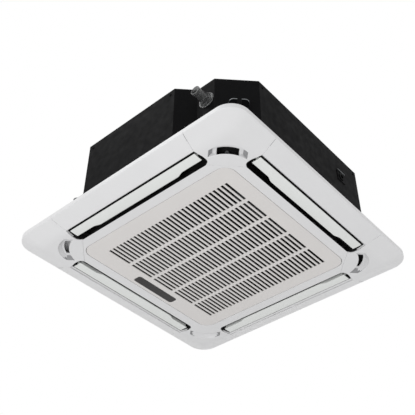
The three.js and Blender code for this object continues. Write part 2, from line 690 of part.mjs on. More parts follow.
function fanMotor() {
  const bore = SHAFT_R + PIN_CLEARANCE;
  const body = turned([
    [bore, MOTOR_BOTTOM - 8], [14, MOTOR_BOTTOM - 8], [14, MOTOR_BOTTOM], [MOTOR_R - 22, MOTOR_BOTTOM],
    [MOTOR_R, MOTOR_BOTTOM + 44], [MOTOR_R, MOTOR_TOP - 6], [MOTOR_R - 6, MOTOR_TOP], [bore, MOTOR_TOP],
  ], 24);
  const cap = rodZ(0, 0, 16, MOTOR_TOP - 20, MOTOR_TOP + 2);
  const ears = [0, 1, 2].map((i) => {
    const ear = box(30, MOUNT_CIRCLE + MOUNT_R, -8, 8, MOTOR_TOP - 12, MOTOR_TOP - 8);
    return ear.rotateZ((2 * Math.PI * i) / 3);
  });
  return join(body, cap, ...ears);
}

function motorBracket() {
  const base = MOTOR_TOP - 8 + GAP + MOUNT_HEIGHT + GAP;
  const ring = prism(new THREE.Shape().absarc(0, 0, MOUNT_CIRCLE + 14, 0, 2 * Math.PI), base, base + 2.5, 20);
  const eye = rodZ(0, 0, 40, 0, BODY_TOP, 24);
  const posts = [0, 1, 2].map((i) => {
    const post = rodZ(MOUNT_CIRCLE + 4, 0, 8, base + 1, TOP_PLATE_Z - GAP, 12);
    return post.rotateZ((2 * Math.PI * i) / 3 + Math.PI / 3);
  });
  return join(cut(ring, eye), ...posts);
}

function addFan() {
  part('bell_mouth', bellMouth(), MATERIAL.bell);
  part('turbo_fan', turboFan(), MATERIAL.fan);
  part('fan_motor', fanMotor(), MATERIAL.motor);
  part('motor_shaft', rodZ(0, 0, SHAFT_R, HUB_Z - 24, MOTOR_TOP - 21, 16), MATERIAL.steel);
  const nutTop = HUB_Z - 14 - GAP;
  const nut = cut(prism(regular(6, 14), nutTop - 7, nutTop), rodZ(0, 0, SHAFT_R + GAP, 0, BODY_TOP, 12));
  part('fan_nut', nut, MATERIAL.steel);
  part('motor_bracket', motorBracket(), MATERIAL.steel);
  for (const i of [0, 1, 2]) {
    const z = MOTOR_TOP - 8 + GAP;
    const mount = part(`motor_mount_${i + 1}`, rodZ(0, 0, MOUNT_R, z, z + MOUNT_HEIGHT, 14), MATERIAL.rubber);
    const turn = (2 * Math.PI * i) / 3;
    mount.position.set(MOUNT_CIRCLE * Math.cos(turn), MOUNT_CIRCLE * Math.sin(turn), 0);
  }
}

// ---------------------------------------------------------------- drain

function drainOutlet() {
  const flange = rodY(OUTLET_X, OUTLET_Z, OUTLET_FLANGE_R, NOTCH_Y - 3 - GAP, NOTCH_Y - GAP, 24);
  const tube = rodY(OUTLET_X, OUTLET_Z, OUTLET_R, NOTCH_Y - OUTLET_REACH, NOTCH_Y + 10);
  const bore = rodY(OUTLET_X, OUTLET_Z, OUTLET_BORE, NOTCH_Y - OUTLET_REACH - 1, NOTCH_Y + 11);
  return cut(join(flange, tube), bore);
}

const PUMP_BASE = PAN_TOP + 12;
const PUMP_TOP = PUMP_BASE + 46;

// The pump stands over its sump and is held to the liner by a foot.
function drainPump() {
  const leg = rodZ(0, 0, PUMP_LEG_R, SUMP_FLOOR + 4, PUMP_BASE + 1);
  const body = rodZ(0, 0, PUMP_R, PUMP_BASE, PUMP_TOP - 14);
  const head = rodZ(0, 0, PUMP_R - 5, PUMP_TOP - 16, PUMP_TOP, 20);
  const spout = rodZ(OUTLET_X - PUMP_X, 0, 6, PUMP_TOP - 20, PUMP_TOP + 12, 12);
  const well = rodZ(0, 0, IMPELLER_R + 1.2, SUMP_FLOOR, PUMP_BASE - 6, 20);
  const wallY = NOTCH_Y + SHEET + LINER_THICK + GAP - PUMP_Y;
  const foot = box(-7, 7, wallY, -PUMP_R + 3, PUMP_BASE + 4, PUMP_BASE + 16);
  return cut(join(leg, body, head, spout, foot), well);
}

function pumpImpeller() {
  const core = rodZ(0, 0, 3, SUMP_FLOOR + 5, PUMP_BASE - 6 - GAP, 12);
  const vane = (turn) => box(0, IMPELLER_R, -0.8, 0.8, SUMP_FLOOR + 5, SUMP_FLOOR + 15).rotateZ(turn);
  return join(core, ...QUARTERS.map((k) => vane((k * Math.PI) / 2)));
}

function drainHose() {
  const startZ = PUMP_TOP + 12 + GAP;
  const endY = NOTCH_Y + 10 + GAP;
  const points = [
    [OUTLET_X, PUMP_Y, startZ], [OUTLET_X, PUMP_Y, startZ + 20], [OUTLET_X, PUMP_Y + 1, OUTLET_Z - 16],
    [OUTLET_X, PUMP_Y - 5, OUTLET_Z - 3], [OUTLET_X, PUMP_Y - 16, OUTLET_Z], [OUTLET_X, endY, OUTLET_Z],
  ];
  const cuff = rodY(OUTLET_X, OUTLET_Z, OUTLET_R, endY, endY + 11);
  return join(sweep(points, 7, 12, 8), cuff);
}

// Stem of the float switch, with an arm to the liner on the body's chamfer.
function floatSwitch() {
  const stem = rodZ(0, 0, FLOAT_STEM_R, SUMP_FLOOR + 2, PAN_TOP + 34, 12);
  const stop = rodZ(0, 0, FLOAT_R - 2, SUMP_FLOOR + 2, SUMP_FLOOR + 4, 12);
  const reach = (CHAMFER_SUM - (FLOAT_X - FLOAT_Y)) * Math.SQRT1_2 - SHEET - LINER_THICK - GAP;
  const arm = box(0, reach, -4, 4, PAN_TOP + 28, PAN_TOP + 34).rotateZ(-Math.PI / 4);
  return join(stem, stop, arm);
}

function switchFloat() {
  const bore = FLOAT_STEM_R + PIN_CLEARANCE;
  const z0 = SUMP_FLOOR + 4 + GAP;
  const z1 = z0 + 12;
  return turned([[bore, z0], [FLOAT_R, z0], [FLOAT_R, z1], [bore, z1]], 16);
}

function addDrain() {
  part('drain_outlet', drainOutlet(), MATERIAL.drain);
  part('drain_hose', drainHose(), MATERIAL.rubber);
  part('drain_pump', drainPump(), MATERIAL.pump).position.set(PUMP_X, PUMP_Y, 0);
  part('pump_impeller', pumpImpeller(), MATERIAL.pump).position.set(PUMP_X, PUMP_Y, 0);
  part('float_switch', floatSwitch(), MATERIAL.pump).position.set(FLOAT_X, FLOAT_Y, 0);
  part('switch_float', switchFloat(), MATERIAL.foam).position.set(FLOAT_X, FLOAT_Y, 0);
}

// ---------------------------------------------------------------- refrigerant pipes

function flareNut(x, z, boreR, acrossFlats) {
  const y0 = PIPE_END_Y - NUT_LENGTH;
  const hexagon = prism(regular(6, acrossFlats), 0, NUT_LENGTH * 0.6);
  const collar = rodZ(0, 0, acrossFlats / 2 - 1.5, NUT_LENGTH * 0.5, NUT_LENGTH, 16);
  const bore = rodZ(0, 0, boreR + GAP, -1, NUT_LENGTH + 1, 16);
  return cut(join(hexagon, collar), bore).rotateX(-Math.PI / 2).translate(x, y0, z);
}

function addPipes() {
  const headerX = -COIL_HALF + 34;
  const headerY = COIL_HALF - 34;
  const header = rodZ(headerX, headerY, 8, 96, 252, 14);
  const gasRun = sweep([
    [headerX, headerY, GAS_Z], [headerX + 14, headerY + 14, GAS_Z], [GAS_X - 3, headerY + 34, GAS_Z],
    [GAS_X, headerY + 54, GAS_Z], [GAS_X, BODY_HALF, GAS_Z], [GAS_X, PIPE_END_Y, GAS_Z],
  ], GAS_R, 12);
  part('gas_pipe', join(header, gasRun), MATERIAL.copper);
  const distributor = rodZ(headerX + 28, headerY - 8, 6, 120, 200, 12);
  const liquidRun = sweep([
    [headerX + 28, headerY - 8, LIQUID_Z], [headerX + 42, headerY, LIQUID_Z],
    [LIQUID_X - 6, headerY + 40, LIQUID_Z], [LIQUID_X, headerY + 62, LIQUID_Z],
    [LIQUID_X, BODY_HALF, LIQUID_Z], [LIQUID_X, PIPE_END_Y, LIQUID_Z],
  ], LIQUID_R, 12, 8);
  part('liquid_pipe', join(distributor, liquidRun), MATERIAL.copper);
  part('gas_flare_nut', flareNut(GAS_X, GAS_Z, GAS_R, 26), MATERIAL.brass);
  part('liquid_flare_nut', flareNut(LIQUID_X, LIQUID_Z, LIQUID_R, 17), MATERIAL.brass);
  const face = BODY_HALF + GAP;
  const plate = box(GAS_X - 26, LIQUID_X + 22, face, face + 1.5, LIQUID_Z - 26, GAS_Z + 28);
  const grommets = pipeHoles(BODY_HALF, BODY_HALF + 3, GAP);
  part('pipe_cover_plate', cut(plate, ...grommets), MATERIAL.casing);
}

// ---------------------------------------------------------------- control box

const BOX_TOP = BELL_LEVEL - GAP;

const BOARD_TOP = BOX_TOP - BOX_WALL - GAP;

function boxSolid(margin, z0, z1) {
  return box(BOX_X0 + margin, BOX_X1 - margin, -BOX_HALF_Y + margin, BOX_HALF_Y - margin, z0, z1);
}

function circuitBoard() {
  const board = box(BOX_X0 + 3, BOX_X1 - 3, -56, BOX_HALF_Y - 6, BOARD_TOP - 1.6, BOARD_TOP);
  const relays = [-50, -20, 30].map((y) =>
    box(BOX_X0 + 7, BOX_X0 + 21, y, y + 18, BOARD_TOP - 14, BOARD_TOP - 1));
  const capacitor = rodZ(BOX_X1 - 12, 90, 6, BOARD_TOP - 17, BOARD_TOP - 1, 14);
  return join(board, ...relays, capacitor);
}

function terminalBlock() {
  const y0 = -BOX_HALF_Y + 10;
  const block = box(BOX_X0 + 6, BOX_X1 - 6, y0, y0 + 40, BOARD_TOP - 16, BOARD_TOP);
  const ways = QUARTERS.map((i) => {
    const low = y0 + 2.3 + i * 9.4;
    return box(BOX_X0 + 9, BOX_X1 - 9, low, low + 7, BOARD_TOP - 18, BOARD_TOP - 8);
  });
  return cut(block, ...ways);
}

// The box hangs under the bell mouth's plate and opens downwards; the cover closes it from below.
function addControlBox() {
  const coverTop = BOX_BOTTOM + 4;
  const inside = boxSolid(BOX_WALL, coverTop - 1, BOX_TOP - BOX_WALL);
  part('control_box', cut(boxSolid(0, coverTop + GAP, BOX_TOP), inside), MATERIAL.box);
  const dish = boxSolid(2, BOX_BOTTOM + BOX_WALL, coverTop + 1);
  part('control_box_cover', cut(boxSolid(-1, BOX_BOTTOM, coverTop), dish), MATERIAL.box);
  part('circuit_board', circuitBoard(), MATERIAL.board);
  part('terminal_block', terminalBlock(), MATERIAL.terminal);
}

// ---------------------------------------------------------------- panel

// The panel's outer form, grown inwards by `wall` on every side.
function panelBlock(wall) {
  const settings = {
    depth: PANEL_HEIGHT,
    curveSegments: 5,
    bevelSegments: 1,
    bevelSize: SLOPE_WIDTH,
    bevelThickness: SLOPE_RISE,
  };
  const flat = roundedSquare(PANEL_HALF - SLOPE_WIDTH - wall, CORNER_RADIUS - SLOPE_WIDTH);
  const geometry = new THREE.ExtrudeGeometry(flat, settings).translate(0, 0, SLOPE_RISE + wall);
  const span = 2 * PANEL_HALF;
  return common(geometry, box(-span, span, -span, span, -1, PANEL_HEIGHT));
}

// Right-hand end of the slot, from its outer edge to the start of its inner edge.
function slotEnd() {
  const middle = (SLOT_OUTER + SLOT_INNER) / 2;
  const round = 14;
  const half = SLOT_HALF + SLOT_BULGE;
  const bend = arc(half - round, -SLOT_INNER - round, round, 0, Math.PI / 2, 5);
  return [[SLOT_HALF, -SLOT_OUTER], [half, -middle], ...bend];
}

function slotOutline() {
  const right = slotEnd();
  return [...right, ...right.map(([x, y]) => [-x, y]).reverse()];
}

// Leans a front-side geometry towards the centre as it rises.
function leaned(geometry) {
  return geometry.applyMatrix4(new THREE.Matrix4().makeShear(0, 0, 0, 0, 0, SLOT_LEAN));
}

function slotVoid() {
  return leaned(prism(outline(slotOutline()), -2, PANEL_HEIGHT - DECK_THICK));
}

function ductWall() {
  const half = SLOT_HALF + SLOT_BULGE + SKIN;
  return leaned(box(-half, half, -SLOT_OUTER - SKIN, -SLOT_INNER + SKIN, 0, PANEL_HEIGHT));
}

// Outline of the front right corner cover, counter-clockwise. The slots' ends are its edges.
function cornerOutline() {
  const beyond = PANEL_HALF + 10;
  const slope = (SEAM_AT_EDGE - SLOT_HALF) / (PANEL_HALF - SLOT_OUTER);
  const atBeyond = SLOT_HALF + slope * (beyond - SLOT_OUTER);
  const frontSide = [[atBeyond, -beyond], ...slotEnd().slice(0, -1)];
  const rightSide = frontSide.map(([x, y]) => [-y, -x]).reverse();
  return [...frontSide, ...rightSide, [beyond, -beyond]].reverse();
}

function coverRegion(insetBy, z0, z1) {
  return prism(outline(inset(cornerOutline(), insetBy)), z0, z1);
}

function panelFrame() {
  const wide = PANEL_HALF - SKIN + 1;
  const shell = cut(panelBlock(0), panelBlock(SKIN));
  const deck = prism(roundedSquare(wide, CORNER_RADIUS - SKIN + 1), PANEL_HEIGHT - DECK_THICK, PANEL_HEIGHT);
  const collar = prism(roundedSquare(OPENING_HALF + SKIN, OPENING_RADIUS + SKIN), 0, PANEL_HEIGHT);
  const walls = aroundFour(() => common(ductWall(), panelBlock(0)));
  const frame = join(shell, deck, collar, ...walls);
  const envelope = cut(panelBlock(-0.5), panelBlock(SKIN + GAP));
  const covers = aroundFour(() => common(envelope, coverRegion(0, -2, PANEL_HEIGHT + 1)));
  const opening = prism(roundedSquare(OPENING_HALF, OPENING_RADIUS), -1, PANEL_HEIGHT + 1);
  const across = SLOT_HALF + SLOT_BULGE + SKIN + 1;
  const pinHoles = aroundFour(() => rodX(-AXIS_OUT, AXIS_Z, FLAP_PIN_R + PIN_CLEARANCE, -across, across, 12));
  const reach = OPENING_HALF + SKIN + 1;
  const pocketEnd = Math.max(reach, CATCH_TIP + CATCH_THROW + GAP);
  const hingeHoles = rodY(HINGE_X, HINGE_Z, HINGE_PIN_R + PIN_CLEARANCE, -reach, reach, 12);
  const pockets = [-CATCH_Y, CATCH_Y].map((y) => catchTongue(y, OPENING_HALF - 1, pocketEnd, 0.5));
  const slots = [...aroundFour(slotVoid), ...ducts(PANEL_HEIGHT - DECK_THICK - 1, PANEL_HEIGHT + 1)];
  const bolts = boltHoles(BOLT_R + PIN_CLEARANCE, 0, PANEL_HEIGHT + 1);
  const recess = bodyPrism(-GAP, PANEL_HEIGHT - SEAL_RECESS, PANEL_HEIGHT + 1);
  return cut(frame, ...covers, ...slots, opening, ...pinHoles, hingeHoles, ...pockets, ...bolts, recess);
}

// Crescent of the finger scoop in diagonal coordinates, u outwards and v along, grown by `wall`.
function scoopOutline(wall) {
  const outerC = SCOOP_OUTER - SCOOP_OUTER_R;
  const innerC = SCOOP_INNER - SCOOP_INNER_R;
  const innerAngle = 0.48;
  const outer = arc(outerC, 0, SCOOP_OUTER_R + wall, -SCOOP_HALF_ANGLE, SCOOP_HALF_ANGLE, 8);
  const inner = arc(innerC, 0, SCOOP_INNER_R - wall, innerAngle, -innerAngle, 5);
  return [...outer, ...inner];
}

// Swaps axes so that a section drawn in Y and Z runs along X.
function alongX(geometry) {
  return geometry.applyMatrix4(new THREE.Matrix4().set(0, 0, 1, 0, 1, 0, 0, 0, 0, 1, 0, 0, 0, 0, 0, 1));
}

function scoopSolid(wall, z0) {
  const half = SCOOP_HALF + wall;
  const flat = half - SCOOP_END;
  const floor = SCOOP_DEPTH + wall;
  const ends = outline([[-half, -2], [half, -2], [half, 0.5], [flat, floor], [-flat, floor], [-half, 0.5]]);
  const wedge = alongX(prism(ends, SCOOP_INNER - 40, SCOOP_OUTER + 20));
  return common(prism(outline(scoopOutline(wall)), z0, floor), wedge).rotateZ(-Math.PI / 4);
}

// Opening in the scoop's floor and through its inner wall, above the lip of the skin.
function fingerHole() {
  const top = SCOOP_DEPTH + SCOOP_WALL + 1;
  const far = SCOOP_INNER + FINGER_HOLE_WIDTH;
  const zone = box(SCOOP_INNER - 12, far, -FINGER_HOLE_HALF, FINGER_HOLE_HALF, FINGER_LIP, top);
  const hole = common(prism(outline(scoopOutline(SCOOP_WALL + 1)), 0, top + 1), zone);
  return hole.rotateZ(-Math.PI / 4);
}

function cornerCover() {
  const shell = common(cut(panelBlock(0), panelBlock(SKIN)), coverRegion(GAP, -2, PANEL_HEIGHT + 1));
  return cut(join(shell, scoopSolid(SCOOP_WALL, 0.6)), scoopSolid(0, -1), fingerHole());
}

function addPanel() {
  part('panel_frame', panelFrame(), MATERIAL.panel);
  const names = ['front_right', 'rear_right', 'rear_left', 'front_left'];
  names.forEach((name, k) => {
    const cover = part(`corner_cover_${name}`, cornerCover(), MATERIAL.panel);
    cover.rotation.z = (k * Math.PI) / 2;
    const bolt = part(`panel_bolt_${name}`, panelBolt(), MATERIAL.steel);
    bolt.position.set(BOLT_AT, -BOLT_AT, 0).applyAxisAngle(UP, (k * Math.PI) / 2);
  });
  part('panel_seal', panelSeal(), MATERIAL.foam);
}

function panelSeal() {
  const sheet = bodyPrism(3, PANEL_HEIGHT - SEAL_RECESS + GAP, BODY_BOTTOM - GAP);
  const opening = prism(roundedSquare(OPENING_HALF + SKIN, OPENING_RADIUS + SKIN), 0, BODY_TOP);
  return cut(sheet, opening, ...ducts(0, BODY_TOP), ...boltHoles(BOLT_R + 3, 0, BODY_TOP));
}

function panelBolt() {
  const head = PANEL_HEIGHT - DECK_THICK - GAP;
  const shank = rodZ(0, 0, BOLT_R, head - 1, BOLT_END, 12);
  return join(prism(regular(6, BOLT_HEAD_FLATS), head - BOLT_HEAD, head), shank);
}

// ---------------------------------------------------------------- flaps and their motors

function flapOutline() {
  const back = FLAP_INNER + FLAP_STEP;
  const right = [
    [FLAP_HALF, -FLAP_OUTER],
    [FLAP_HALF - 1.5, -back - 3],
    [FLAP_STEP_FAR, -back],
    [FLAP_STEP_FAR - 6, -back + FLAP_STEP * 0.25],
    [FLAP_STEP_NEAR + 6, -FLAP_INNER - FLAP_STEP * 0.25],
    [FLAP_STEP_NEAR, -FLAP_INNER],
  ];
  return [...right, ...right.map(([x, y]) => [-x, y]).reverse()];
}

// The flap's section across its length: a thin arched plate.
function flapSection() {
  const half = (FLAP_OUTER - FLAP_INNER) / 2 + 1;
  const middle = (FLAP_OUTER + FLAP_INNER) / 2;
  const steps = 4;
  const arch = (z, way) => Array.from({ length: steps + 1 }, (_, i) => {
    const t = (2 * i) / steps - 1;
    return [-middle + way * t * half, z + FLAP_CROWN * t * t];
  });
  return outline([...arch(FLAP_FACE_Z, 1), ...arch(FLAP_FACE_Z + FLAP_THICK, -1)]);
}

// A thin wall that stands on the flap's inner edge, low between the steps and higher beyond them.
function flapLip() {
  const low = FLAP_FACE_Z + 1;
  const wall = cut(
    prism(outline(flapOutline()), low, FLAP_LIP_END),
    prism(outline(inset(flapOutline(), FLAP_LIP)), low - 1, FLAP_LIP_END + 1),
  );
  const reach = FLAP_INNER + FLAP_STEP + 2 * FLAP_LIP;
  const strip = box(-FLAP_HALF, FLAP_HALF, -reach, 0, 0, FLAP_LIP_END + 1);
  const dip = outline([
    [-FLAP_STEP_NEAR, FLAP_LIP_MIDDLE],
    [FLAP_STEP_NEAR, FLAP_LIP_MIDDLE],
    [FLAP_STEP_FAR, FLAP_LIP_END + 1],
    [-FLAP_STEP_FAR, FLAP_LIP_END + 1],
  ]);
  return cut(common(wall, strip), prism(dip, 0, FLAP_OUTER).rotateX(Math.PI / 2));
}

// The blade with a stiffening rib and an arm at each end that carries its pin up to the axis.
function flap() {
  const strip = alongX(prism(flapSection(), -FLAP_HALF - 2, FLAP_HALF + 2));
  const blade = common(strip, prism(outline(flapOutline()), 0, 20));
  const armEnd = FLAP_HALF - 4;
  const low = FLAP_FACE_Z + 1;
  const arm = box(armEnd - FLAP_ARM, armEnd, -AXIS_OUT - 4.5, -AXIS_OUT + 4.5, low, AXIS_Z + 4.5);
  const otherArm = arm.clone().translate(FLAP_ARM - 2 * armEnd, 0, 0);
  const wallEnd = SLOT_HALF + SLOT_BULGE + SKIN;
  const driven = rodX(-AXIS_OUT, AXIS_Z, FLAP_PIN_R, armEnd - 1, wallEnd + STEPPER_BORE_DEPTH - 1, 12);
  const idle = rodX(-AXIS_OUT, AXIS_Z, FLAP_PIN_R, -wallEnd, 1 - armEnd, 12);
  const rib = box(-armEnd + 1, armEnd - 1, -AXIS_OUT - 1, -AXIS_OUT + 1, low, FLAP_FACE_Z + 7);
  return join(blade, flapLip(), rib, arm, otherArm, driven, idle);
}

function flapMotor() {
  const x0 = SLOT_HALF + SLOT_BULGE + SKIN + GAP;
  const can = rodX(-AXIS_OUT, AXIS_Z, STEPPER_R, x0, x0 + STEPPER_LENGTH, 16);
  const ear = box(x0, x0 + 1.2, -AXIS_OUT - STEPPER_EAR, -AXIS_OUT + STEPPER_EAR, AXIS_Z - 3.5, AXIS_Z + 3.5);
  const bore = rodX(-AXIS_OUT, AXIS_Z, FLAP_PIN_R + GAP, x0 - 1, x0 + STEPPER_BORE_DEPTH, 10);
  return cut(join(can, ear), bore);
}

function addFlaps() {
  const names = ['front', 'right', 'rear', 'left'];
  names.forEach((name, k) => {
    const side = new THREE.Group();
    side.rotation.z = (k * Math.PI) / 2;
    model.add(side);
    part(`flap_${name}`, flap(), MATERIAL.flap, side);
    part(`flap_motor_${name}`, flapMotor(), MATERIAL.motor, side);
  });
}

// ---------------------------------------------------------------- intake grille

const GRILLE_HALF = OPENING_HALF - GRILLE_GAP;
const GRILLE_BACK = GRILLE_RECESS + GRILLE_THICK;

function slatSlots() {
  const y0 = BAND_CENTRE - (BAND_COUNT * BAND_PITCH) / 2;
  const shapes = [];
  for (let band = 0; band < BAND_COUNT; band += 1) {
    const low = y0 + band * BAND_PITCH + BAND_RIB / 2;
    const high = y0 + (band + 1) * BAND_PITCH - BAND_RIB / 2;
    for (let i = 0; i < SLAT_SLOTS; i += 1) {
      const x = SLAT_FIRST + i * SLAT_PITCH;
      shapes.push([x - SLAT_WIDTH / 2, x + SLAT_WIDTH / 2, low, high]);
    }
  }
  return shapes;
}

function windowPrism(shrink, z0, z1) {
  const half = WINDOW_WIDTH / 2 - shrink;
  const shape = roundedSquare(half, WINDOW_RADIUS - shrink, WINDOW_LENGTH / 2 - shrink);
  return prism(shape, z0, z1, 5).translate(WINDOW_X, WINDOW_Y, 0);
}

// A block whose lower edge is bevelled all round; `grow` is how far it spreads over `height`.
function bevelled(shape, z0, grow, height, z1) {
  const depth = z1 - z0 + 1;
  const settings = { depth, curveSegments: 5, bevelSegments: 1, bevelSize: grow, bevelThickness: height };
  return new THREE.ExtrudeGeometry(shape, settings).translate(0, 0, z0 + height);
}

function grilleSlab() {
  const radius = OPENING_RADIUS - GRILLE_GAP - GRILLE_CHAMFER;
  const face = roundedSquare(GRILLE_HALF - GRILLE_CHAMFER, radius);
  const block = bevelled(face, GRILLE_RECESS, GRILLE_CHAMFER, GRILLE_CHAMFER, GRILLE_BACK);
  return common(block, box(-PANEL_HALF, PANEL_HALF, -PANEL_HALF, PANEL_HALF, 0, GRILLE_BACK));
}

// Flared recess that the window sits in.
function windowFlare() {
  const shape = roundedSquare(WINDOW_WIDTH / 2, WINDOW_RADIUS, WINDOW_LENGTH / 2);
  const height = WINDOW_THICK - 0.6;
  const flare = bevelled(shape, 0, WINDOW_FLARE, height, 1).rotateX(Math.PI);
  return flare.translate(WINDOW_X, WINDOW_Y, GRILLE_RECESS + height);
}

function catchTongue(y, x0, x1, clearance) {
  const half = CATCH_TONGUE_HALF + clearance;
  const z0 = GRILLE_BACK + GAP;
  return box(x0, x1, y - half, y + half, z0 - clearance, z0 + CATCH_THICK + clearance);
}

// Two rails with lips that guide a catch on the back of the grille.
function catchRails(y) {
  const top = GRILLE_BACK + CATCH_THICK + 3 * GAP;
  return [-1, 1].flatMap((side) => {
    const near = y + side * (CATCH_HALF + GAP);
    const far = near + side * 3;
    const lipNear = near - side * 2.5;
    return [
      box(RAIL_X0, RAIL_X1, Math.min(near, far), Math.max(near, far), GRILLE_BACK - 1, top + 1.5),
      box(RAIL_X0, RAIL_X1, Math.min(lipNear, far), Math.max(lipNear, far), top - GAP, top + 1.5),
    ];
  });
}

function hingeEnd(side) {
  const inner = side * (GRILLE_HALF - 1);
  const outer = side * (OPENING_HALF + SKIN - 0.4);
  return rodY(HINGE_X, HINGE_Z, HINGE_PIN_R, Math.min(inner, outer), Math.max(inner, outer), 12);
}

function intakeGrille() {
  const radius = OPENING_RADIUS - GRILLE_GAP;
  const wall = squareRing(GRILLE_HALF, radius, GRILLE_HALF - SKIRT_WALL, radius - SKIRT_WALL);
  const skirt = prism(wall, GRILLE_BACK - 1, SKIRT_HEIGHT);
  const rails = [-CATCH_Y, CATCH_Y].flatMap(catchRails);
  const plate = join(grilleSlab(), skirt, hingeEnd(-1), hingeEnd(1), ...rails);
  const slots = slatSlots().map(([x0, x1, y0, y1]) => box(x0, x1, y0, y1, -1, GRILLE_BACK + 1));
  const catchHoles = [-CATCH_Y, CATCH_Y].map((y) => catchTongue(y, RAIL_X1, GRILLE_HALF + 1, GAP));
  return cut(plate, ...slots, ...catchHoles, windowPrism(0, -1, GRILLE_BACK + 1), windowFlare());
}

function grilleCatch(y) {
  const z0 = GRILLE_BACK + GAP;
  const slider = box(CATCH_X0, CATCH_X1, y - CATCH_HALF, y + CATCH_HALF, z0, z0 + CATCH_THICK);
  return join(slider, catchTongue(y, CATCH_X1 - 2, CATCH_TIP, 0));
}

function displayWindow() {
  const z0 = GRILLE_RECESS + WINDOW_THICK - 0.6;
  const pane = windowPrism(GAP, z0, GRILLE_BACK + 1);
  const rim = windowPrism(-2.5, GRILLE_BACK + GAP, GRILLE_BACK + 1.8);
  return join(pane, rim);
}

function displayBoard() {
  const z0 = GRILLE_BACK + 1.8 + GAP;
  const board = box(WINDOW_X - 9, WINDOW_X + 9, WINDOW_Y - 60, WINDOW_Y + 60, z0, z0 + 1.6);
  const receiver = box(WINDOW_X - 5, WINDOW_X + 5, WINDOW_Y + 20, WINDOW_Y + 30, z0 + 1, z0 + 6);
  return join(board, receiver);
}

function filterSlab(margin, z0, z1) {
  const halfY = FILTER_HALF_Y - margin;
  return box(FILTER_X0 + margin, FILTER_X1 - margin, -halfY, halfY, z0, z1);
}

function airFilter() {
  const z0 = GRILLE_BACK + GAP;
  const z1 = z0 + FILTER_THICK;
  const frame = cut(filterSlab(0, z0, z1), filterSlab(FILTER_BAR, z0 - 1, z1 + 1));
  const mesh = filterSlab(1, z0 + 1.6, z0 + 1.6 + FILTER_MESH);
  const halfY = FILTER_HALF_Y - 1;
  const barsAcross = [1, 2, 3].map((i) => {
    const x = FILTER_X0 + ((FILTER_X1 - FILTER_X0) * i) / 4;
    return box(x - 1.5, x + 1.5, -halfY, halfY, z0 + 0.5, z1 - 0.5);
  });
  const barsAlong = [-1, 0, 1].map((i) => {
    const y = (i * FILTER_HALF_Y) / 2;
    return box(FILTER_X0 + 2, FILTER_X1 - 2, y - 1.5, y + 1.5, z0 + 0.9, z1 - 0.9);
  });
  return join(frame, mesh, ...barsAcross, ...barsAlong);
}

function addGrille() {
  part('intake_grille', intakeGrille(), MATERIAL.grille);
  part('display_window', displayWindow(), MATERIAL.window);
  part('display_board', displayBoard(), MATERIAL.board);
  part('air_filter', airFilter(), MATERIAL.filter);
  part('grille_catch_front', grilleCatch(-CATCH_Y), MATERIAL.grille);
  part('grille_catch_rear', grilleCatch(CATCH_Y), MATERIAL.grille);
}

// ---------------------------------------------------------------- assembly

part('casing_side', casingSide(), MATERIAL.casing);
part('casing_top', casingTop(), MATERIAL.casing);
part('insulation_liner', insulationLiner(), MATERIAL.foam);
part('wiring_inlet', wiringInlet(), MATERIAL.lug);
addLugs();
part('drain_pan', drainPan(), MATERIAL.pan);
addCoil();
addFan();
addDrain();
addPipes();
addControlBox();
addPanel();
addFlaps();
addGrille();

export default model;
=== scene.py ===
"""Looks of a ceiling cassette air conditioner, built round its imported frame.

Meshes are drawn in millimetres and become metres in piece(). The origin is the middle of the
panel's lowest plane and the front is -Y. What is alike on all four sides is drawn once, at the
front, and turned.
"""

import json
from math import atan2, ceil, cos, dist, hypot, pi, radians, sin, sqrt, tan

import bmesh
import bpy
from mathutils import Matrix, Vector


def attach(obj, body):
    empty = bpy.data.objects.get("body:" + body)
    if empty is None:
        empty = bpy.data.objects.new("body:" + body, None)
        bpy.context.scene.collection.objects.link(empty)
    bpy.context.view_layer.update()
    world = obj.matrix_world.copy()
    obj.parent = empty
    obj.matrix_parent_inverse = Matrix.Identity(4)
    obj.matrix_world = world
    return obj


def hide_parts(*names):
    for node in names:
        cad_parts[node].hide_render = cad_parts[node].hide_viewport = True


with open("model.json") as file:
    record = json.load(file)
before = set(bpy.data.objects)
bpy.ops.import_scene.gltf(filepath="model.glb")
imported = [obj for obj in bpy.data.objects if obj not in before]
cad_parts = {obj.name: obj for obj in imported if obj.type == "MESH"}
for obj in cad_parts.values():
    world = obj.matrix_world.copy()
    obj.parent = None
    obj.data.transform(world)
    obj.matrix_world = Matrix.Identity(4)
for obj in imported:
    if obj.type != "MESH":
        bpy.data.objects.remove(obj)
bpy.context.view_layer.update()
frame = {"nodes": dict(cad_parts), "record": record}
scene = bpy.context.scene

MM = 0.001
QUARTERS = (0, 1, 2, 3)
CORNERS = ("front_right", "rear_right", "rear_left", "front_left")
SIDES = ("front", "right", "rear", "left")
DIAGONAL = sqrt(0.5)

# ---------------- sizes, as in the frame

GAP = 0.3
PLAY = 0.35  # round a pin or a bolt in its hole
SKIN = 2.6

PANEL_HALF = 350
PANEL_HEIGHT = 28.4
SLOPE_WIDTH = 46
SLOPE_RISE = 16.4
CORNER_RADIUS = 47
DECK_THICK = 2.6
SLOPE_BLEND = 70  # rounding between the flat face and the sloping border
RIM_BLEND = 2.2  # rounding between the sloping border and the rim
INNER_CORNER = 10  # rounding of the flat face's corners

SLOT_OUTER = 307
SLOT_INNER = 259
SLOT_HALF = 203
SLOT_BULGE = 5
SLOT_END = SLOT_HALF + SLOT_BULGE
SLOT_MIDDLE = (SLOT_OUTER + SLOT_INNER) / 2
SLOT_ROUND = 14
SLOT_LEAN = 0.8
SLOT_LIP = 0.9
WHITE_LIP = 6  # the slot's outer wall is painted dark above this height, as painted shade
WHITE_INNER_LIP = 1.3  # and its inner wall above this one, also as painted shade
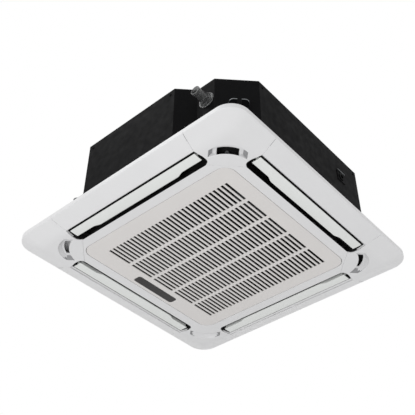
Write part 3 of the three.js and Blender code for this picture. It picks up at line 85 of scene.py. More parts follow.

FLAP_OUTER = 298
FLAP_INNER = 268
FLAP_HALF = 198
FLAP_STEP_FAR = 143
FLAP_STEP_NEAR = 122
FLAP_STEP = 6
FLAP_FACE_Z = 2.2
FLAP_THICK = 2.4
FLAP_CROWN = 0.8
AXIS_OUT = 286
AXIS_Z = 14
FLAP_AXIS = (-AXIS_OUT, AXIS_Z)
FLAP_PIN_R = 2.5
FLAP_ARM = 3
FLAP_ARM_HALF = 4.5
FLAP_ARM_AT = FLAP_HALF - 4
FLAP_EDGE_R = 0.9
FLAP_LIP = 1.6
FLAP_LIP_MIDDLE = 6
FLAP_LIP_END = 12.5

SEAM_AT_EDGE = 211
SEAM_ROUND = 0.45
SCOOP_OUTER = 384
SCOOP_OUTER_R = 58
SCOOP_INNER = 358
SCOOP_INNER_R = 76
SCOOP_DEPTH = 10
SCOOP_END = 9  # how far each end slopes in on its way to the floor
SCOOP_HALF = 42
SCOOP_WALL = 2.2
SCOOP_LIP = 1.2
SCOOP_RAMP = 8  # and how far the outer side does
FINGER_HOLE_HALF = 24
FINGER_HOLE_WIDTH = 13
FINGER_LIP = 1.6

OPENING_HALF = 233
OPENING_RADIUS = 30
OPENING_EDGE = 0.8
GRILLE_HALF = 231.8
GRILLE_RADIUS = 28.8
GRILLE_FACE_Z = 0.4
GRILLE_BACK = 3.4
GRILLE_EDGE = 1.2
SKIRT_HEIGHT = 9
SKIRT_WALL = 2
SLAT_PITCH = 11.92
SLAT_SLOTS = 32
SLAT_FIRST = -179
SLAT_WIDTH = 6.6
SLAT_CORNER = 0.9
SLAT_LIP = 0.7
BAND_PITCH = 78
BAND_COUNT = 5
BAND_CENTRE = 4.2
BAND_RIB = 8.5
HINGE_X = -203
HINGE_Z = 5
HINGE_PIN_R = 1.8
CATCH_Y = 120
CATCH_TIP = 231.5
CATCH_THROW = 3.5
CATCH_TONGUE_HALF = 7
CATCH_THICK = 3
CATCH_HALF = 10
RAIL_X0 = 202
RAIL_X1 = 228
RAIL_WALL = 3
RAIL_LIP = 2.5

WINDOW_X = -211.5
WINDOW_Y = 8
WINDOW_WIDTH = 25
WINDOW_LENGTH = 140
WINDOW_RADIUS = 7
WINDOW_FLARE = 3
WINDOW_FACE_Z = 1.6

FILTER_HALF_Y = 198
FILTER_X0 = -186
FILTER_X1 = 199
FILTER_Z0 = 3.7
FILTER_Z1 = 7.7
FILTER_BAR = 6
FILTER_RIB_HALF = 1.5
FILTER_PITCH = 2.75
FILTER_WIRE = 0.55

BODY_HALF = 287.5
BODY_BOTTOM = 34.3
BODY_TOP = 290.3
SHEET = 1.2
LEFT_CUT = 103.5
LUG_CUT = 115
NOTCH_START = 118.7
NOTCH_DEPTH = 39.5
REAR_NOTCH_DEPTH = 36
REAR_NOTCH_START = 216
FOLD = 2.2  # rounding of the casing's vertical folds
TOP_RIB = 2.4
TOP_PLATE_Z = BODY_TOP - TOP_RIB - SHEET
NOTCH_Y = NOTCH_DEPTH - BODY_HALF
REAR_NOTCH_Y = BODY_HALF - REAR_NOTCH_DEPTH
CHAMFER_SUM = 2 * BODY_HALF - LUG_CUT
FOOT_INSET = 0.4
FOOT_WIDTH = 6
TAB_WIDTH = 34
SCREW_R = 3.4
SCREW_HEIGHT = 1.7
SCREW_FROM_FOLD = 14
SCREW_LEVELS = (BODY_BOTTOM + 22, BODY_TOP - 16)
SHORT_WALL = 150  # a shorter wall has no screws

LUG_Z = 178
LUG_WIDTH = 46.6
LUG_REACH = 36
LUG_SLOT = 10.4
LUG_SLOT_DEPTH = 28
LUG_PLATE = 3
LUG_TIP_R = 10
LUG_RIB_HEIGHT = 25
LUG_BACK_HALF = 30
LUG_BACK_HEIGHT = 70
LUG_FRONT_ALONG = 28.4

CABLE_Y = 166
CABLE_Z = 212
CABLE_R = 9
INLET_TOP = 229.5

OUTLET_X = 187.4
OUTLET_Z = 226
OUTLET_R = 12.5
OUTLET_BORE = 10
OUTLET_REACH = 42
OUTLET_FLANGE_R = 22
OUTLET_FLANGE = 3
OUTLET_RIB_HEIGHT = 14

GAS_X = -150
GAS_R = 6.35
GAS_Z = 205
LIQUID_X = -118
LIQUID_R = 3.2
LIQUID_Z = 172

COIL_HALF = 219
COIL_THICK = 28
COIL_RADIUS = 120
COIL_BOTTOM = 66
COIL_TOP = 272
COIL_END = -105
FIN_PITCH = 2.6
FIN_THICK = 0.3
COIL_TUBE_R = 3.2
TUBE_LOWEST = 22
TUBE_PITCH = 30
TUBE_FROM_MIDDLE = 7
TUBE_STEP = 4

DUCT_OUTER = 279.5
DUCT_INNER = 239
DUCT_HALF = 194
DUCT_FRONT_END = 150
DUCT_WALL = 8

BOLT_AT = 240
BOLT_R = 2.5

# ---------------- outlines


def edges_of(points):
    """Each edge of a closed outline: its start, its end and its length."""
    for (x, y), (nx, ny) in zip(points, points[1:] + points[:1]):
        yield x, y, nx, ny, hypot(nx - x, ny - y)


def inset(points, distance):
    """A counter-clockwise outline with every edge moved inwards by distance."""
    edges = []
    for x, y, nx, ny, length in edges_of(points):
        dx, dy = (nx - x) / length, (ny - y) / length
        edges.append((x - dy * distance, y + dx * distance, dx, dy))
    corners = []
    for i, (x, y, dx, dy) in enumerate(edges):
        lx, ly, ldx, ldy = edges[i - 1]
        cross = ldx * dy - ldy * dx
        if abs(cross) < 1e-9:
            corners.append((x, y))
            continue
        t = ((x - lx) * dy - (y - ly) * dx) / cross
        corners.append((lx + ldx * t, ly + ldy * t))
    return corners


def arc(cx, cy, radius, start, end, steps):
    angles = [start + (end - start) * i / steps for i in range(steps + 1)]
    return [(cx + radius * cos(a), cy + radius * sin(a)) for a in angles]


def circle(radius, sides):
    angles = [2 * pi * i / sides for i in range(sides)]
    return [(radius * cos(a), radius * sin(a)) for a in angles]


def rounding(radius, steps=4):
    """A rounded edge as (how far out, how far up), from its mouth to where it ends."""
    angles = [pi / 2 * k / steps for k in range(steps + 1)]
    return [(radius * (1 - sin(a)), radius * (1 - cos(a))) for a in angles]


def about(middle, half):
    return middle - half, middle + half


def rectangle(x0, x1, y0, y1):
    return [(x0, y0), (x1, y0), (x1, y1), (x0, y1)]


def rounded_square(half, radius, half_y=None, steps=10):
    ex = half - radius
    ey = (half if half_y is None else half_y) - radius
    turn = pi / 2
    points = []
    for k, (sx, sy) in enumerate(((1, 1), (-1, 1), (-1, -1), (1, -1))):
        points += arc(sx * ex, sy * ey, radius, k * turn, (k + 1) * turn, steps)
    return points


def filleted(points, radius, steps=5, closed=True):
    """The points with each corner rounded, as far as its edges allow."""
    count = len(points)
    rounded = []
    for i, point in enumerate(points):
        if not closed and i in (0, count - 1):
            rounded.append(point)
            continue
        here = Vector(point)
        back = Vector(points[i - 1]) - here
        ahead = Vector(points[(i + 1) % count]) - here
        bend = back.angle(ahead)
        if bend > radians(178):
            rounded.append(point)
            continue
        reach = min(radius / tan(bend / 2), 0.48 * back.length, 0.48 * ahead.length)
        start = here + back.normalized() * reach
        end = here + ahead.normalized() * reach
        halfway = (back.normalized() + ahead.normalized()).normalized()
        centre = here + halfway * (reach / cos(bend / 2))
        turn = (start - centre).angle_signed(end - centre)
        for k in range(steps + 1):
            spoke = (start - centre).copy()
            spoke.rotate(Matrix.Rotation(-turn * k / steps, 2))
            rounded.append(tuple(centre + spoke))
    return rounded


def densified(points, spacing):
    """A closed outline with extra points, no further apart than spacing."""
    dense = []
    for x, y, nx, ny, length in edges_of(points):
        parts = max(1, ceil(length / spacing))
        dense += [(x + (nx - x) * k / parts, y + (ny - y) * k / parts) for k in range(parts)]
    return dense


def mirrored(points):
    return points + [(-x, y) for x, y in reversed(points)]


def placed(points, x, y):
    return [(px + x, py + y) for px, py in points]


def raised(points, z):
    return [(x, y, z) for x, y in points]


def edge_rings(points, radius, way, surface, steps=4):
    """Rings that round an edge where a wall meets a surface.

    way is 1 for a cutter, which flares at its mouth, and -1 for a solid, which narrows there.
    surface(x, y) is the height of the surface.
    """
    rings = []
    for out, up in rounding(radius, steps):
        rings.append([(x, y, surface(x, y) + up) for x, y in inset(points, -way * out)])
    below = [(x, y, -5) for x, y, z in rings[0]]
    return [below, *rings]


# ---------------- meshes and booleans


def closed_mesh(verts, faces):
    mesh = bpy.data.meshes.new("solid")
    mesh.from_pydata(verts, [], faces)
    work = bmesh.new()
    work.from_mesh(mesh)
    bmesh.ops.remove_doubles(work, verts=work.verts, dist=1e-5)
    bmesh.ops.recalc_face_normals(work, faces=work.faces)
    work.to_mesh(mesh)
    work.free()
    return mesh


def loft(rings):
    """A closed skin through rings of equally many points."""
    count = len(rings[0])
    last = count * (len(rings) - 1)
    verts = [point for ring in rings for point in ring]
    faces = []
    for low in range(0, last, count):
        for i in range(count):
            j = (i + 1) % count
            faces.append((low + i, low + j, low + count + j, low + count + i))
    faces += [tuple(reversed(range(count))), tuple(range(last, last + count))]
    return closed_mesh(verts, faces)


def prism(points, z0, z1):
    return loft([raised(points, z0), raised(points, z1)])


def box(x0, x1, y0, y1, z0, z1, edge=0.0):
    mesh = prism(rectangle(x0, x1, y0, y1), z0, z1)
    return eased(mesh, edge) if edge else mesh


def eased(mesh, edge, angle=30):
    """The mesh with its sharp edges rounded."""
    work = bmesh.new()
    work.from_mesh(mesh)
    limit = radians(angle)
    sharp = [e for e in work.edges if e.is_manifold and e.calc_face_angle(0) > limit]
    options = {"segments": 2, "profile": 0.5, "affect": "EDGES", "clamp_overlap": True}
    bmesh.ops.bevel(work, geom=sharp, offset=edge, **options)
    work.to_mesh(mesh)
    work.free()
    return mesh


def turned(profile, sides=64):
    """A closed profile of (radius, z) points turned about Z."""
    verts = []
    faces = []
    count = len(profile)
    for c, s in circle(1, sides):
        verts += [(r * c, r * s, z) for r, z in profile]
    for i in range(sides):
        here, there = i * count, (i + 1) % sides * count
        for k in range(count):
            j = (k + 1) % count
            faces.append((here + k, here + j, there + j, there + k))
    return closed_mesh(verts, faces)


def moved(mesh, matrix):
    copy = mesh.copy()
    copy.transform(matrix)
    return copy


def shifted(mesh, x=0.0, y=0.0, z=0.0):
    return moved(mesh, Matrix.Translation((x, y, z)))


def spun(mesh, angle, axis="Z"):
    return moved(mesh, Matrix.Rotation(angle, 4, axis))


def quarter(mesh, k):
    return spun(mesh, k * pi / 2)


def around_four(mesh):
    return [quarter(mesh, k) for k in QUARTERS]


def merged(meshes):
    """Several separate bodies in one mesh."""
    work = bmesh.new()
    for mesh in meshes:
        work.from_mesh(mesh)
    result = bpy.data.meshes.new("solid")
    work.to_mesh(result)
    work.free()
    return result


def shown(name, data):
    """A new object in the scene."""
    thing = bpy.data.objects.new(name, data)
    scene.collection.objects.link(thing)
    return thing


def combine(base, tools, operation):
    target = shown("target", base)
    helpers = [shown("tool", tool) for tool in tools]
    for helper in helpers:
        modifier = target.modifiers.new("combine", "BOOLEAN")
        modifier.operation = operation
        modifier.solver = "MANIFOLD"
        modifier.object = helper
    bpy.context.view_layer.update()
    depsgraph = bpy.context.evaluated_depsgraph_get()
    result = bpy.data.meshes.new_from_object(target.evaluated_get(depsgraph))
    result.materials.clear()
    for helper in (target, *helpers):
        bpy.data.objects.remove(helper)
    return result


def cut(base, *tools):
    return combine(base, tools, "DIFFERENCE")


def join(base, *others):
    return combine(base, others, "UNION")


def common(base, *others):
    return combine(base, others, "INTERSECT")


def rod(axis, centre, radius, start, end, sides=32, edge=0.0):
    """A cylinder along X, Y or Z. centre gives the two other coordinates."""
    ends = [(start, radius), (end, radius)]
    if edge:
        narrow = radius - edge
        ends = [(start, narrow), (start + edge, radius), (end - edge, radius), (end, narrow)]
    turn = {
        "Z": Matrix.Identity(4),
        "X": Matrix(((0, 0, 1, 0), (1, 0, 0, 0), (0, 1, 0, 0), (0, 0, 0, 1))),
        "Y": Matrix(((0, 1, 0, 0), (0, 0, 1, 0), (1, 0, 0, 0), (0, 0, 0, 1))),
    }[axis]
    u, v = centre
    place = {"Z": (u, v, 0), "X": (0, u, v), "Y": (u, 0, v)}[axis]
    mesh = loft([raised(circle(r, sides), z) for z, r in ends])
    return moved(mesh, Matrix.Translation(place) @ turn)


# ---------------- pieces


def piece(name, mesh, slot, body="housing", node=None):
    """Makes the mesh, drawn in millimetres, a visible piece that rides on a body.

    It stands for the node, if one is given, and wears the slot's look unless it is painted.
    """
    mesh.transform(Matrix.Scale(MM, 4))
    mesh.name = name
    if not mesh.materials:
        mesh.materials.append(LOOKS[slot])
    mesh.shade_smooth()
    mesh.set_sharp_from_angle(angle=radians(32))
    thing = shown(name, mesh)
    thing.modifiers.new("normals", "WEIGHTED_NORMAL").keep_sharp = True
    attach(thing, body)
    if node:
        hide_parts(node)


def stand_in(node, suffix, mesh):
    """The piece that stands for a node, on the node's body and with its slot."""
    piece(f"{node}_{suffix}", mesh, NODE_SLOT[node], NODE_BODY[node], node)


def painted(mesh, looks, choose):
    """Gives each face the look whose index choose(centre, normal) returns."""
    for look in looks:
        mesh.materials.append(LOOKS[look])
    for face in mesh.polygons:
        face.material_index = choose(face.center, face.normal)
    return mesh


# ---------------- materials


class Look:
    """A Principled material whose colour, roughness and surface vary with procedural noise.

    Inputs are given by their names, with _ for a space.
    """

    def __init__(self, name):
        self.material = bpy.data.materials.new(name)
        self.material.use_nodes = True
        self.tree = self.material.node_tree
        self.shader = self.tree.nodes["Principled BSDF"]
        self.place = self.add("ShaderNodeTexCoord").outputs["Object"]

    def set(self, node, inputs):
        for key, value in inputs.items():
            node.inputs[key.replace("_", " ")].default_value = value

    def add(self, kind, **inputs):
        node = self.tree.nodes.new(kind)
        self.set(node, inputs)
        return node

    def link(self, start, end):
        self.tree.links.new(start, end)

    def body(self, **inputs):
        self.set(self.shader, inputs)

    def texture(self, kind, **inputs):
        node = self.add(kind, **inputs)
        self.link(self.place, node.inputs["Vector"])
        return node

    def noise(self, scale, detail, stretch=None):
        """Noise with `scale` features to the metre; stretch makes it finer along each axis."""
        if not stretch:
            return self.texture("ShaderNodeTexNoise", Scale=scale, Detail=detail).outputs["Fac"]
        node = self.add("ShaderNodeTexNoise", Scale=scale, Detail=detail)
        mapping = self.texture("ShaderNodeMapping", Scale=stretch)
        self.link(mapping.outputs["Vector"], node.inputs["Vector"])
        return node.outputs["Fac"]

    def cells(self, scale):
        """How far a point lies from the middle of its cell."""
        return self.texture("ShaderNodeTexVoronoi", Scale=scale).outputs["Distance"]

    def ranged(self, value, low, high, start=0.3, end=0.7):
        """The value's stretch from start to end, made to run from low to high."""
        limits = {"From_Min": start, "From_Max": end, "To_Min": low, "To_Max": high}
        node = self.add("ShaderNodeMapRange", **limits)
        self.link(value, node.inputs["Value"])
        return node.outputs["Result"]

    def colours(self, factor, *stops):
        """Colours the material by stops of (position, sRGB hex code, strength)."""
        ramp = self.add("ShaderNodeValToRGB")
        while len(ramp.color_ramp.elements) < len(stops):
            ramp.color_ramp.elements.new(0.5)
        for element, (position, colour, strength) in zip(ramp.color_ramp.elements, stops):
            element.position = position
            element.color = (*tone(colour, strength), 1)
        self.link(factor, ramp.inputs["Fac"])
        self.link(ramp.outputs["Color"], self.shader.inputs["Base Color"])

    def bump(self, height, distance):
        node = self.add("ShaderNodeBump", Strength=1, Distance=distance)
        self.link(height, node.inputs["Height"])
        self.link(node.outputs["Normal"], self.shader.inputs["Normal"])

    def roughness(self, value, low, high):
        self.link(self.ranged(value, low, high), self.shader.inputs["Roughness"])


def tone(hex_code, strength):
    """Linear colour of an sRGB hex code, made stronger or weaker."""
    channels = [int(hex_code[i : i + 2], 16) / 255 for i in (0, 2, 4)]
    linear = [c / 12.92 if c <= 0.04045 else ((c + 0.055) / 1.055) ** 2.4 for c in channels]
    return tuple(min(1.0, c * strength) for c in linear)


def moulded(look, colour, roughness, grain=900, depth=0.00002, spread=0.03, specular=0.5):
    """Injection-moulded plastic: a fine grain, and broad faint unevenness in colour and gloss."""
    look.body(Specular_IOR_Level=specular)
    stops = (0.35, colour, 1 - spread), (0.65, colour, 1 + spread / 2)
    look.colours(look.noise(9, 2), *stops)
    look.roughness(look.noise(60, 4), roughness - 0.05, roughness + 0.06)
    look.bump(look.noise(grain, 2), depth)


def coated_steel(look, colour, roughness):
    """Sheet steel under satin paint: orange peel, faint dust and small scuffs."""
    look.body(Specular_IOR_Level=0.02)
    stops = (0.3, colour, 0.9), (0.62, colour, 1), (0.8, colour, 1.2)
    look.colours(look.noise(14, 5), *stops)
    look.roughness(look.noise(55, 6), roughness - 0.06, roughness + 0.1)
    look.bump(look.noise(420, 2), 0.00003)


def zinc(look, colour, roughness):
    """Zinc-plated sheet: spangles of slightly different grey."""
    look.body(Metallic=0.85)
    look.colours(look.cells(160), (0, colour, 0.8), (0.6, colour, 1.2))
    look.roughness(look.noise(40, 4), roughness - 0.08, roughness + 0.12)
    look.bump(look.noise(500, 2), 0.00001)


def bare_metal(look, colour, roughness, stain, stretch=None):
    """Drawn or machined metal with a stained tone."""
    look.body(Metallic=1)
    look.colours(look.noise(45, 4), (0.35, stain, 1), (0.6, colour, 1))
    look.roughness(look.noise(70, 4), roughness - 0.08, roughness + 0.15)
    look.bump(look.noise(700, 2, stretch), 0.00001)


def bead_foam(look, colour):
    """Moulded bead foam: round cells a few millimetres across with darker joints."""
    look.body(Roughness=0.85)
    cells = look.cells(260)
    look.colours(cells, (0.1, colour, 1.25), (0.7, colour, 0.6))
    look.bump(look.ranged(cells, 1, 0, 0, 0.8), 0.0004)


def soft_foam(look, colour):
    look.body(Roughness=0.95)
    look.colours(look.noise(700, 3), (0.35, colour, 0.5), (0.65, colour, 1.4))
    look.bump(look.noise(900, 3), 0.0003)


def rubber(look, colour):
    look.body(Roughness=0.75)
    look.colours(look.noise(30, 4), (0.35, colour, 0.8), (0.7, colour, 1.6))
    look.bump(look.noise(1500, 2), 0.00004)


def clear_plastic(look, colour):
    """Cloudy see-through plastic."""
    look.body(Transmission_Weight=0.8, IOR=1.3)
    look.colours(look.noise(60, 3), (0.35, colour, 0.85), (0.65, colour, 1))
    look.roughness(look.noise(40, 2), 0.16, 0.28)
    look.bump(look.noise(60, 1), 0.00001)


def board(look, colour):
    """Coated circuit board with faint tracks."""
    look.body(Roughness=0.35)
    tracks = look.texture("ShaderNodeTexBrick", Scale=160, Mortar_Size=0.06).outputs["Fac"]
    look.colours(tracks, (0, colour, 1), (1, colour, 1.8))
    look.bump(tracks, 0.00004)


def painted_floor(look):
    look.body(Roughness=0.8)
    look.colours(look.noise(2, 3), (0.3, "FFFFFF", 0.86), (0.7, "FFFFFF", 0.9))


FINISHES = {
    "panel_white": (moulded, "E6E6E7", 0.36, 1100, 0.000012, 0.012),
    "grille_white": (moulded, "E2DFDD", 0.42, 1100, 0.000015, 0.012),
    "flap_white": (moulded, "EBEDEB", 0.32, 1400, 0.00001, 0.012),
    "window_dark": (moulded, "3C3A3A", 0.24, 600, 0.000004, 0.1, 0.3),
    "casing_black": (coated_steel, "121213", 0.5),
    "liner_foam": (soft_foam, "262627"),
    "lug_steel": (zinc, "6E7072", 0.38),
    "pan_foam": (bead_foam, "1C1C1D"),
    "coil_fins": (bare_metal, "C4C7CA", 0.4, "A5A9AD", (1, 1, 6)),
    "copper": (bare_metal, "C67B50", 0.3, "8C4B2D"),
    "bell_black": (moulded, "1D1D1F", 0.5),
    "fan_plastic": (moulded, "2C2E31", 0.45),
    "motor_metal": (bare_metal, "A9ABAE", 0.42, "85878B"),
    "plain_steel": (zinc, "B4B6B8", 0.32),
    "mount_rubber": (rubber, "161616"),
    "drain_clear": (clear_plastic, "8F9090"),
    "pump_plastic": (moulded, "DEDED9", 0.45),
    "nut_brass": (bare_metal, "D0B060", 0.28, "A4853D"),
    "box_metal": (zinc, "85888B", 0.42),
    "board_green": (board, "1D5A37"),
    "terminal_cream": (moulded, "D2CCBD", 0.5),
    "filter_dark": (moulded, "0B0B0C", 0.8, 900, 0.00002, 0.03, 0.1),
    # a near-black painted shade on the panel's own white slot walls and on the deck behind its
    # covers
    "recess_painted_shade": (moulded, "101011", 0.85),
    # a coarser grip grain, in a darker grey that is painted shade on the scoop's ends
    "grip_grain_and_painted_shade": (moulded, "98989A", 0.7, 500, 0.00006),
    "floor_pale": (painted_floor,),
}
LOOKS = {}
for name, (maker, *values) in FINISHES.items():
    look = Look(name)
    maker(look, *values)
    LOOKS[name] = look.material

BODIES = frame["record"]["behaviour"]["bodies"]
NODE_BODY = {node: body for body, nodes in BODIES.items() for node in nodes}
NODE_SLOT = {row["node"]: row["material_slot"] for row in frame["record"]["subparts"]}

for node, slot in NODE_SLOT.items():
    materials = frame["nodes"][node].data.materials
    materials.clear()
    materials.append(LOOKS[slot])

# ---------------- panel


def panel_profile():
    """The panel's section from its rim inwards, as (distance from the rim, height)."""
    corners = [(0, PANEL_HEIGHT), (0, SLOPE_RISE), (SLOPE_WIDTH, 0), (4 * SLOPE_WIDTH, 0)]
    rim = filleted(corners[:3], RIM_BLEND, 4, closed=False)
    border = filleted(corners[1:], SLOPE_BLEND, 8, closed=False)
    return rim[:-1] + border[1:-1]


PROFILE = panel_profile()


def face_height(x, y):
    """Height of the panel's lower surface beside the middle of a side."""
    inwards = PANEL_HALF - max(abs(x), abs(y))
    if inwards >= PROFILE[-1][0]:
        return 0.0
    for (d0, z0), (d1, z1) in zip(PROFILE[1:], PROFILE[2:]):
        if d0 <= inwards <= d1 and d1 > d0:
            return z0 + (z1 - z0) * (inwards - d0) / (d1 - d0)
    return SLOPE_RISE


def panel_block(wall):
    """The panel's outer form, smaller by wall all round and underneath."""
    flat_start = PROFILE[-1][0]
    rings = []
    for inwards, z in PROFILE:
        radius = CORNER_RADIUS - (CORNER_RADIUS - INNER_CORNER) * inwards / flat_start
        top = PANEL_HEIGHT + (1 if wall else 0) if z == PANEL_HEIGHT else z + wall
        rings.append(raised(rounded_square(PANEL_HALF - wall - inwards, radius, steps=14), top))
    return loft(rings)


def slot_end():
    """Half of the slot's outline, from its outer side round its end to its inner side."""
    bend = arc(SLOT_END - SLOT_ROUND, -SLOT_INNER - SLOT_ROUND, SLOT_ROUND, 0, pi / 2, 8)
    return [(SLOT_HALF, -SLOT_OUTER), (SLOT_END, -SLOT_MIDDLE), *bend]


def leaning(points, z):
    return [(x, y + SLOT_LEAN * z, z) for x, y in points]


def slot_void():
    outline = mirrored(slot_end())
    mouth = edge_rings(outline, SLOT_LIP, 1, face_height)
    lips = [[(x, y + SLOT_LEAN * max(0.0, z), z) for x, y, z in ring] for ring in mouth]
    heights = (WHITE_INNER_LIP, WHITE_LIP, PANEL_HEIGHT - DECK_THICK)
    return loft([*lips, *[leaning(outline, z) for z in heights]])


def duct_wall():
    half = SLOT_END + SKIN
    outline = rectangle(-half, half, -SLOT_OUTER - SKIN, -SLOT_INNER + SKIN)
    return loft([leaning(outline, 0), leaning(outline, PANEL_HEIGHT)])


def corner_outline():
    """Outline of the front right corner cover, counter-clockwise."""
    beyond = PANEL_HALF + 10
    slope = (SEAM_AT_EDGE - SLOT_HALF) / (PANEL_HALF - SLOT_OUTER)
    front = [(SLOT_HALF + slope * (beyond - SLOT_OUTER), -beyond), *slot_end()[:-1]]
    right = [(-y, -x) for x, y in reversed(front)]
    return list(reversed([*front, *right, (beyond, -beyond)]))


def cover_region(inset_by, way):
    outline = inset(densified(corner_outline(), 6), inset_by)
    rings = edge_rings(outline, SEAM_ROUND, way, face_height, 3)
    return loft([*rings, raised(outline, PANEL_HEIGHT + 1)])


def body_outline():
    """The casing's outline from above: cut front corners and a notch at three corners."""
    left_cut = LEFT_CUT - BODY_HALF
    rear_start = REAR_NOTCH_START - REAR_NOTCH_DEPTH
    return [
        (left_cut, -BODY_HALF),
        (NOTCH_START, -BODY_HALF),
        (NOTCH_START + NOTCH_DEPTH, NOTCH_Y),
        (CHAMFER_SUM + NOTCH_Y, NOTCH_Y),
        (BODY_HALF, BODY_HALF - CHAMFER_SUM),
        (BODY_HALF, REAR_NOTCH_Y),
        (REAR_NOTCH_START, REAR_NOTCH_Y),
        (rear_start, BODY_HALF),
        (-rear_start, BODY_HALF),
        (-REAR_NOTCH_START, REAR_NOTCH_Y),
        (-BODY_HALF, REAR_NOTCH_Y),
        (-BODY_HALF, left_cut),
    ]


def body_prism(inset_by, z0, z1, fold=0.0):
    outline = inset(body_outline(), inset_by)
    return prism(filleted(outline, fold, 4) if fold else outline, z0, z1)


def ducts(z0, z1):
    shapes = []
    for k in QUARTERS:
        end = DUCT_FRONT_END if k == 0 else DUCT_HALF
        duct = quarter(box(-DUCT_HALF, end, -DUCT_OUTER, -DUCT_INNER, z0, z1), k)
        shapes.append(common(duct, body_prism(DUCT_WALL, z0 - 1, z1 + 1)))
    return shapes


def bolt_holes(z0, z1):
    return around_four(rod("Z", (BOLT_AT, -BOLT_AT), BOLT_R + PLAY, z0, z1, 20))


def catch_tongue(y, x0, x1, clearance):
    z0 = GRILLE_BACK + GAP
    sides = about(y, CATCH_TONGUE_HALF + clearance)
    return box(x0, x1, *sides, z0 - clearance, z0 + CATCH_THICK + clearance)


def panel_tint(centre, normal):
    """1, dark as painted shade, inside the slots and behind the corner covers; 0, white,
    elsewhere.
    """
    out, along = max(abs(centre.x), abs(centre.y)), min(abs(centre.x), abs(centre.y))
    lip = WHITE_LIP if out > SLOT_MIDDLE else WHITE_INNER_LIP
    duct_inner = SLOT_INNER - SLOT_LEAN * PANEL_HEIGHT
    in_slot = along < SLOT_END + 1 and duct_inner - 1 < out < SLOT_OUTER + 1
    behind_cover = along > SLOT_HALF and normal.z < -0.5 and centre.z > SCOOP_DEPTH
    on_top = normal.z > 0.9
    return 0 if on_top else int(behind_cover or (in_slot and centre.z > lip - 0.5))


def panel_frame():
    """The panel's skin, deck and walls, less its openings and the room of the corner covers."""
    above = PANEL_HEIGHT + 1
    deck_bottom = PANEL_HEIGHT - DECK_THICK
    shell = cut(panel_block(0), panel_block(SKIN))
    deck_outline = rounded_square(PANEL_HALF - SKIN + 1, CORNER_RADIUS - SKIN + 1)
    deck = prism(deck_outline, deck_bottom, PANEL_HEIGHT)
    collar_outline = rounded_square(OPENING_HALF + SKIN, OPENING_RADIUS + SKIN)
    collar = prism(collar_outline, 0, PANEL_HEIGHT)
    walls = [quarter(common(duct_wall(), panel_block(0)), k) for k in QUARTERS]
    solid = join(shell, deck, collar, *walls)
    envelope = cut(panel_block(-0.5), panel_block(SKIN + GAP))
    covers = around_four(common(envelope, cover_region(0, 1)))
    opening_outline = rounded_square(OPENING_HALF, OPENING_RADIUS)
    mouth = edge_rings(opening_outline, OPENING_EDGE, 1, lambda x, y: 0.0)
    opening = loft([*mouth, raised(opening_outline, above)])
    through = ducts(deck_bottom - 1, above)
    across = SLOT_END + SKIN + 1
    pins = around_four(rod("X", FLAP_AXIS, FLAP_PIN_R + PLAY, -across, across, 20))
    reach = OPENING_HALF + SKIN + 1
    hinge = rod("Y", (HINGE_X, HINGE_Z), HINGE_PIN_R + PLAY, -reach, reach, 20)
    pocket_end = max(reach, CATCH_TIP + CATCH_THROW + GAP)
    pockets = [catch_tongue(y, OPENING_HALF - 1, pocket_end, 0.5) for y in (-CATCH_Y, CATCH_Y)]
    slots = around_four(slot_void())
    holes = [*pins, hinge, *pockets, *bolt_holes(0, above)]
    solid = cut(solid, *covers, *slots, *through, opening, *holes)
    # the slot walls and the deck's underside behind the covers are painted dark: painted shade
    return painted(solid, ["panel_white", "recess_painted_shade"], panel_tint)


def scoop_ring(width, grow, z, ramp=0.0):
    """The scoop's crescent in diagonal coordinates, cut off at plus and minus width.

    ramp moves its outer side in.
    """
    steps = 14
    across = [width * (2 * i / steps - 1) for i in range(steps + 1)]
    outer_centre = SCOOP_OUTER - SCOOP_OUTER_R
    inner_centre = SCOOP_INNER - SCOOP_INNER_R
    inner = [(inner_centre + sqrt(SCOOP_INNER_R**2 - v * v), v) for v in across]
    outer = []
    for inner_u, v in inner:
        u = outer_centre + sqrt(SCOOP_OUTER_R**2 - v * v)
        outer.append((u - ramp * (u - inner_u) / (SCOOP_OUTER - SCOOP_INNER), v))
    return raised(inset(outer + inner[::-1], -grow), z)


def scoop_void(wall):
    """The scoop with sloping ends; wall makes it the outside of its shell."""
    if wall:
        rings = [scoop_ring(SCOOP_HALF, wall + SCOOP_LIP, 0.6)]
    else:
        rings = [scoop_ring(SCOOP_HALF, SCOOP_LIP, -2)]
        rings += [scoop_ring(SCOOP_HALF, out, up) for out, up in rounding(SCOOP_LIP)]
    low = rings[-1][0][2]
    for t in [k / 8 for k in range(1, 9)]:
        z = low + (SCOOP_DEPTH + wall - low) * t
        rings.append(scoop_ring(SCOOP_HALF - SCOOP_END * t**1.4, wall, z, SCOOP_RAMP * t**1.3))
    return spun(loft(rings), -pi / 4)


def finger_hole():
    """Opens the scoop's floor and inner wall, so that the skin's edge is left as a thin lip."""
    top = SCOOP_DEPTH + SCOOP_WALL + 1
    zone = box(SCOOP_INNER - 12, SCOOP_OUTER, *about(0, FINGER_HOLE_HALF), FINGER_LIP, top)
    grow = SCOOP_WALL + 1
    ramp = SCOOP_OUTER - SCOOP_INNER - FINGER_HOLE_WIDTH + grow
    crescent = loft([scoop_ring(SCOOP_HALF, grow, z, ramp) for z in (0, top + 1)])
    return spun(common(crescent, zone), -pi / 4)


def cover_tint(centre, normal):
    """1, grained grip in a darker grey that is painted shade, on the scoop's sloping ends; 0,
    smooth, elsewhere.
    """
    along = (centre.x + centre.y) * DIAGONAL
    out = (centre.x - centre.y) * DIAGONAL
    slant = (normal.x + normal.y) * DIAGONAL
    in_crescent = out < SCOOP_OUTER + 2 and abs(along) < SCOOP_HALF + 2
    in_scoop = in_crescent and SCOOP_LIP < centre.z < SCOOP_DEPTH
    return int(in_scoop and slant * along < 0 and abs(slant) > 0.5)


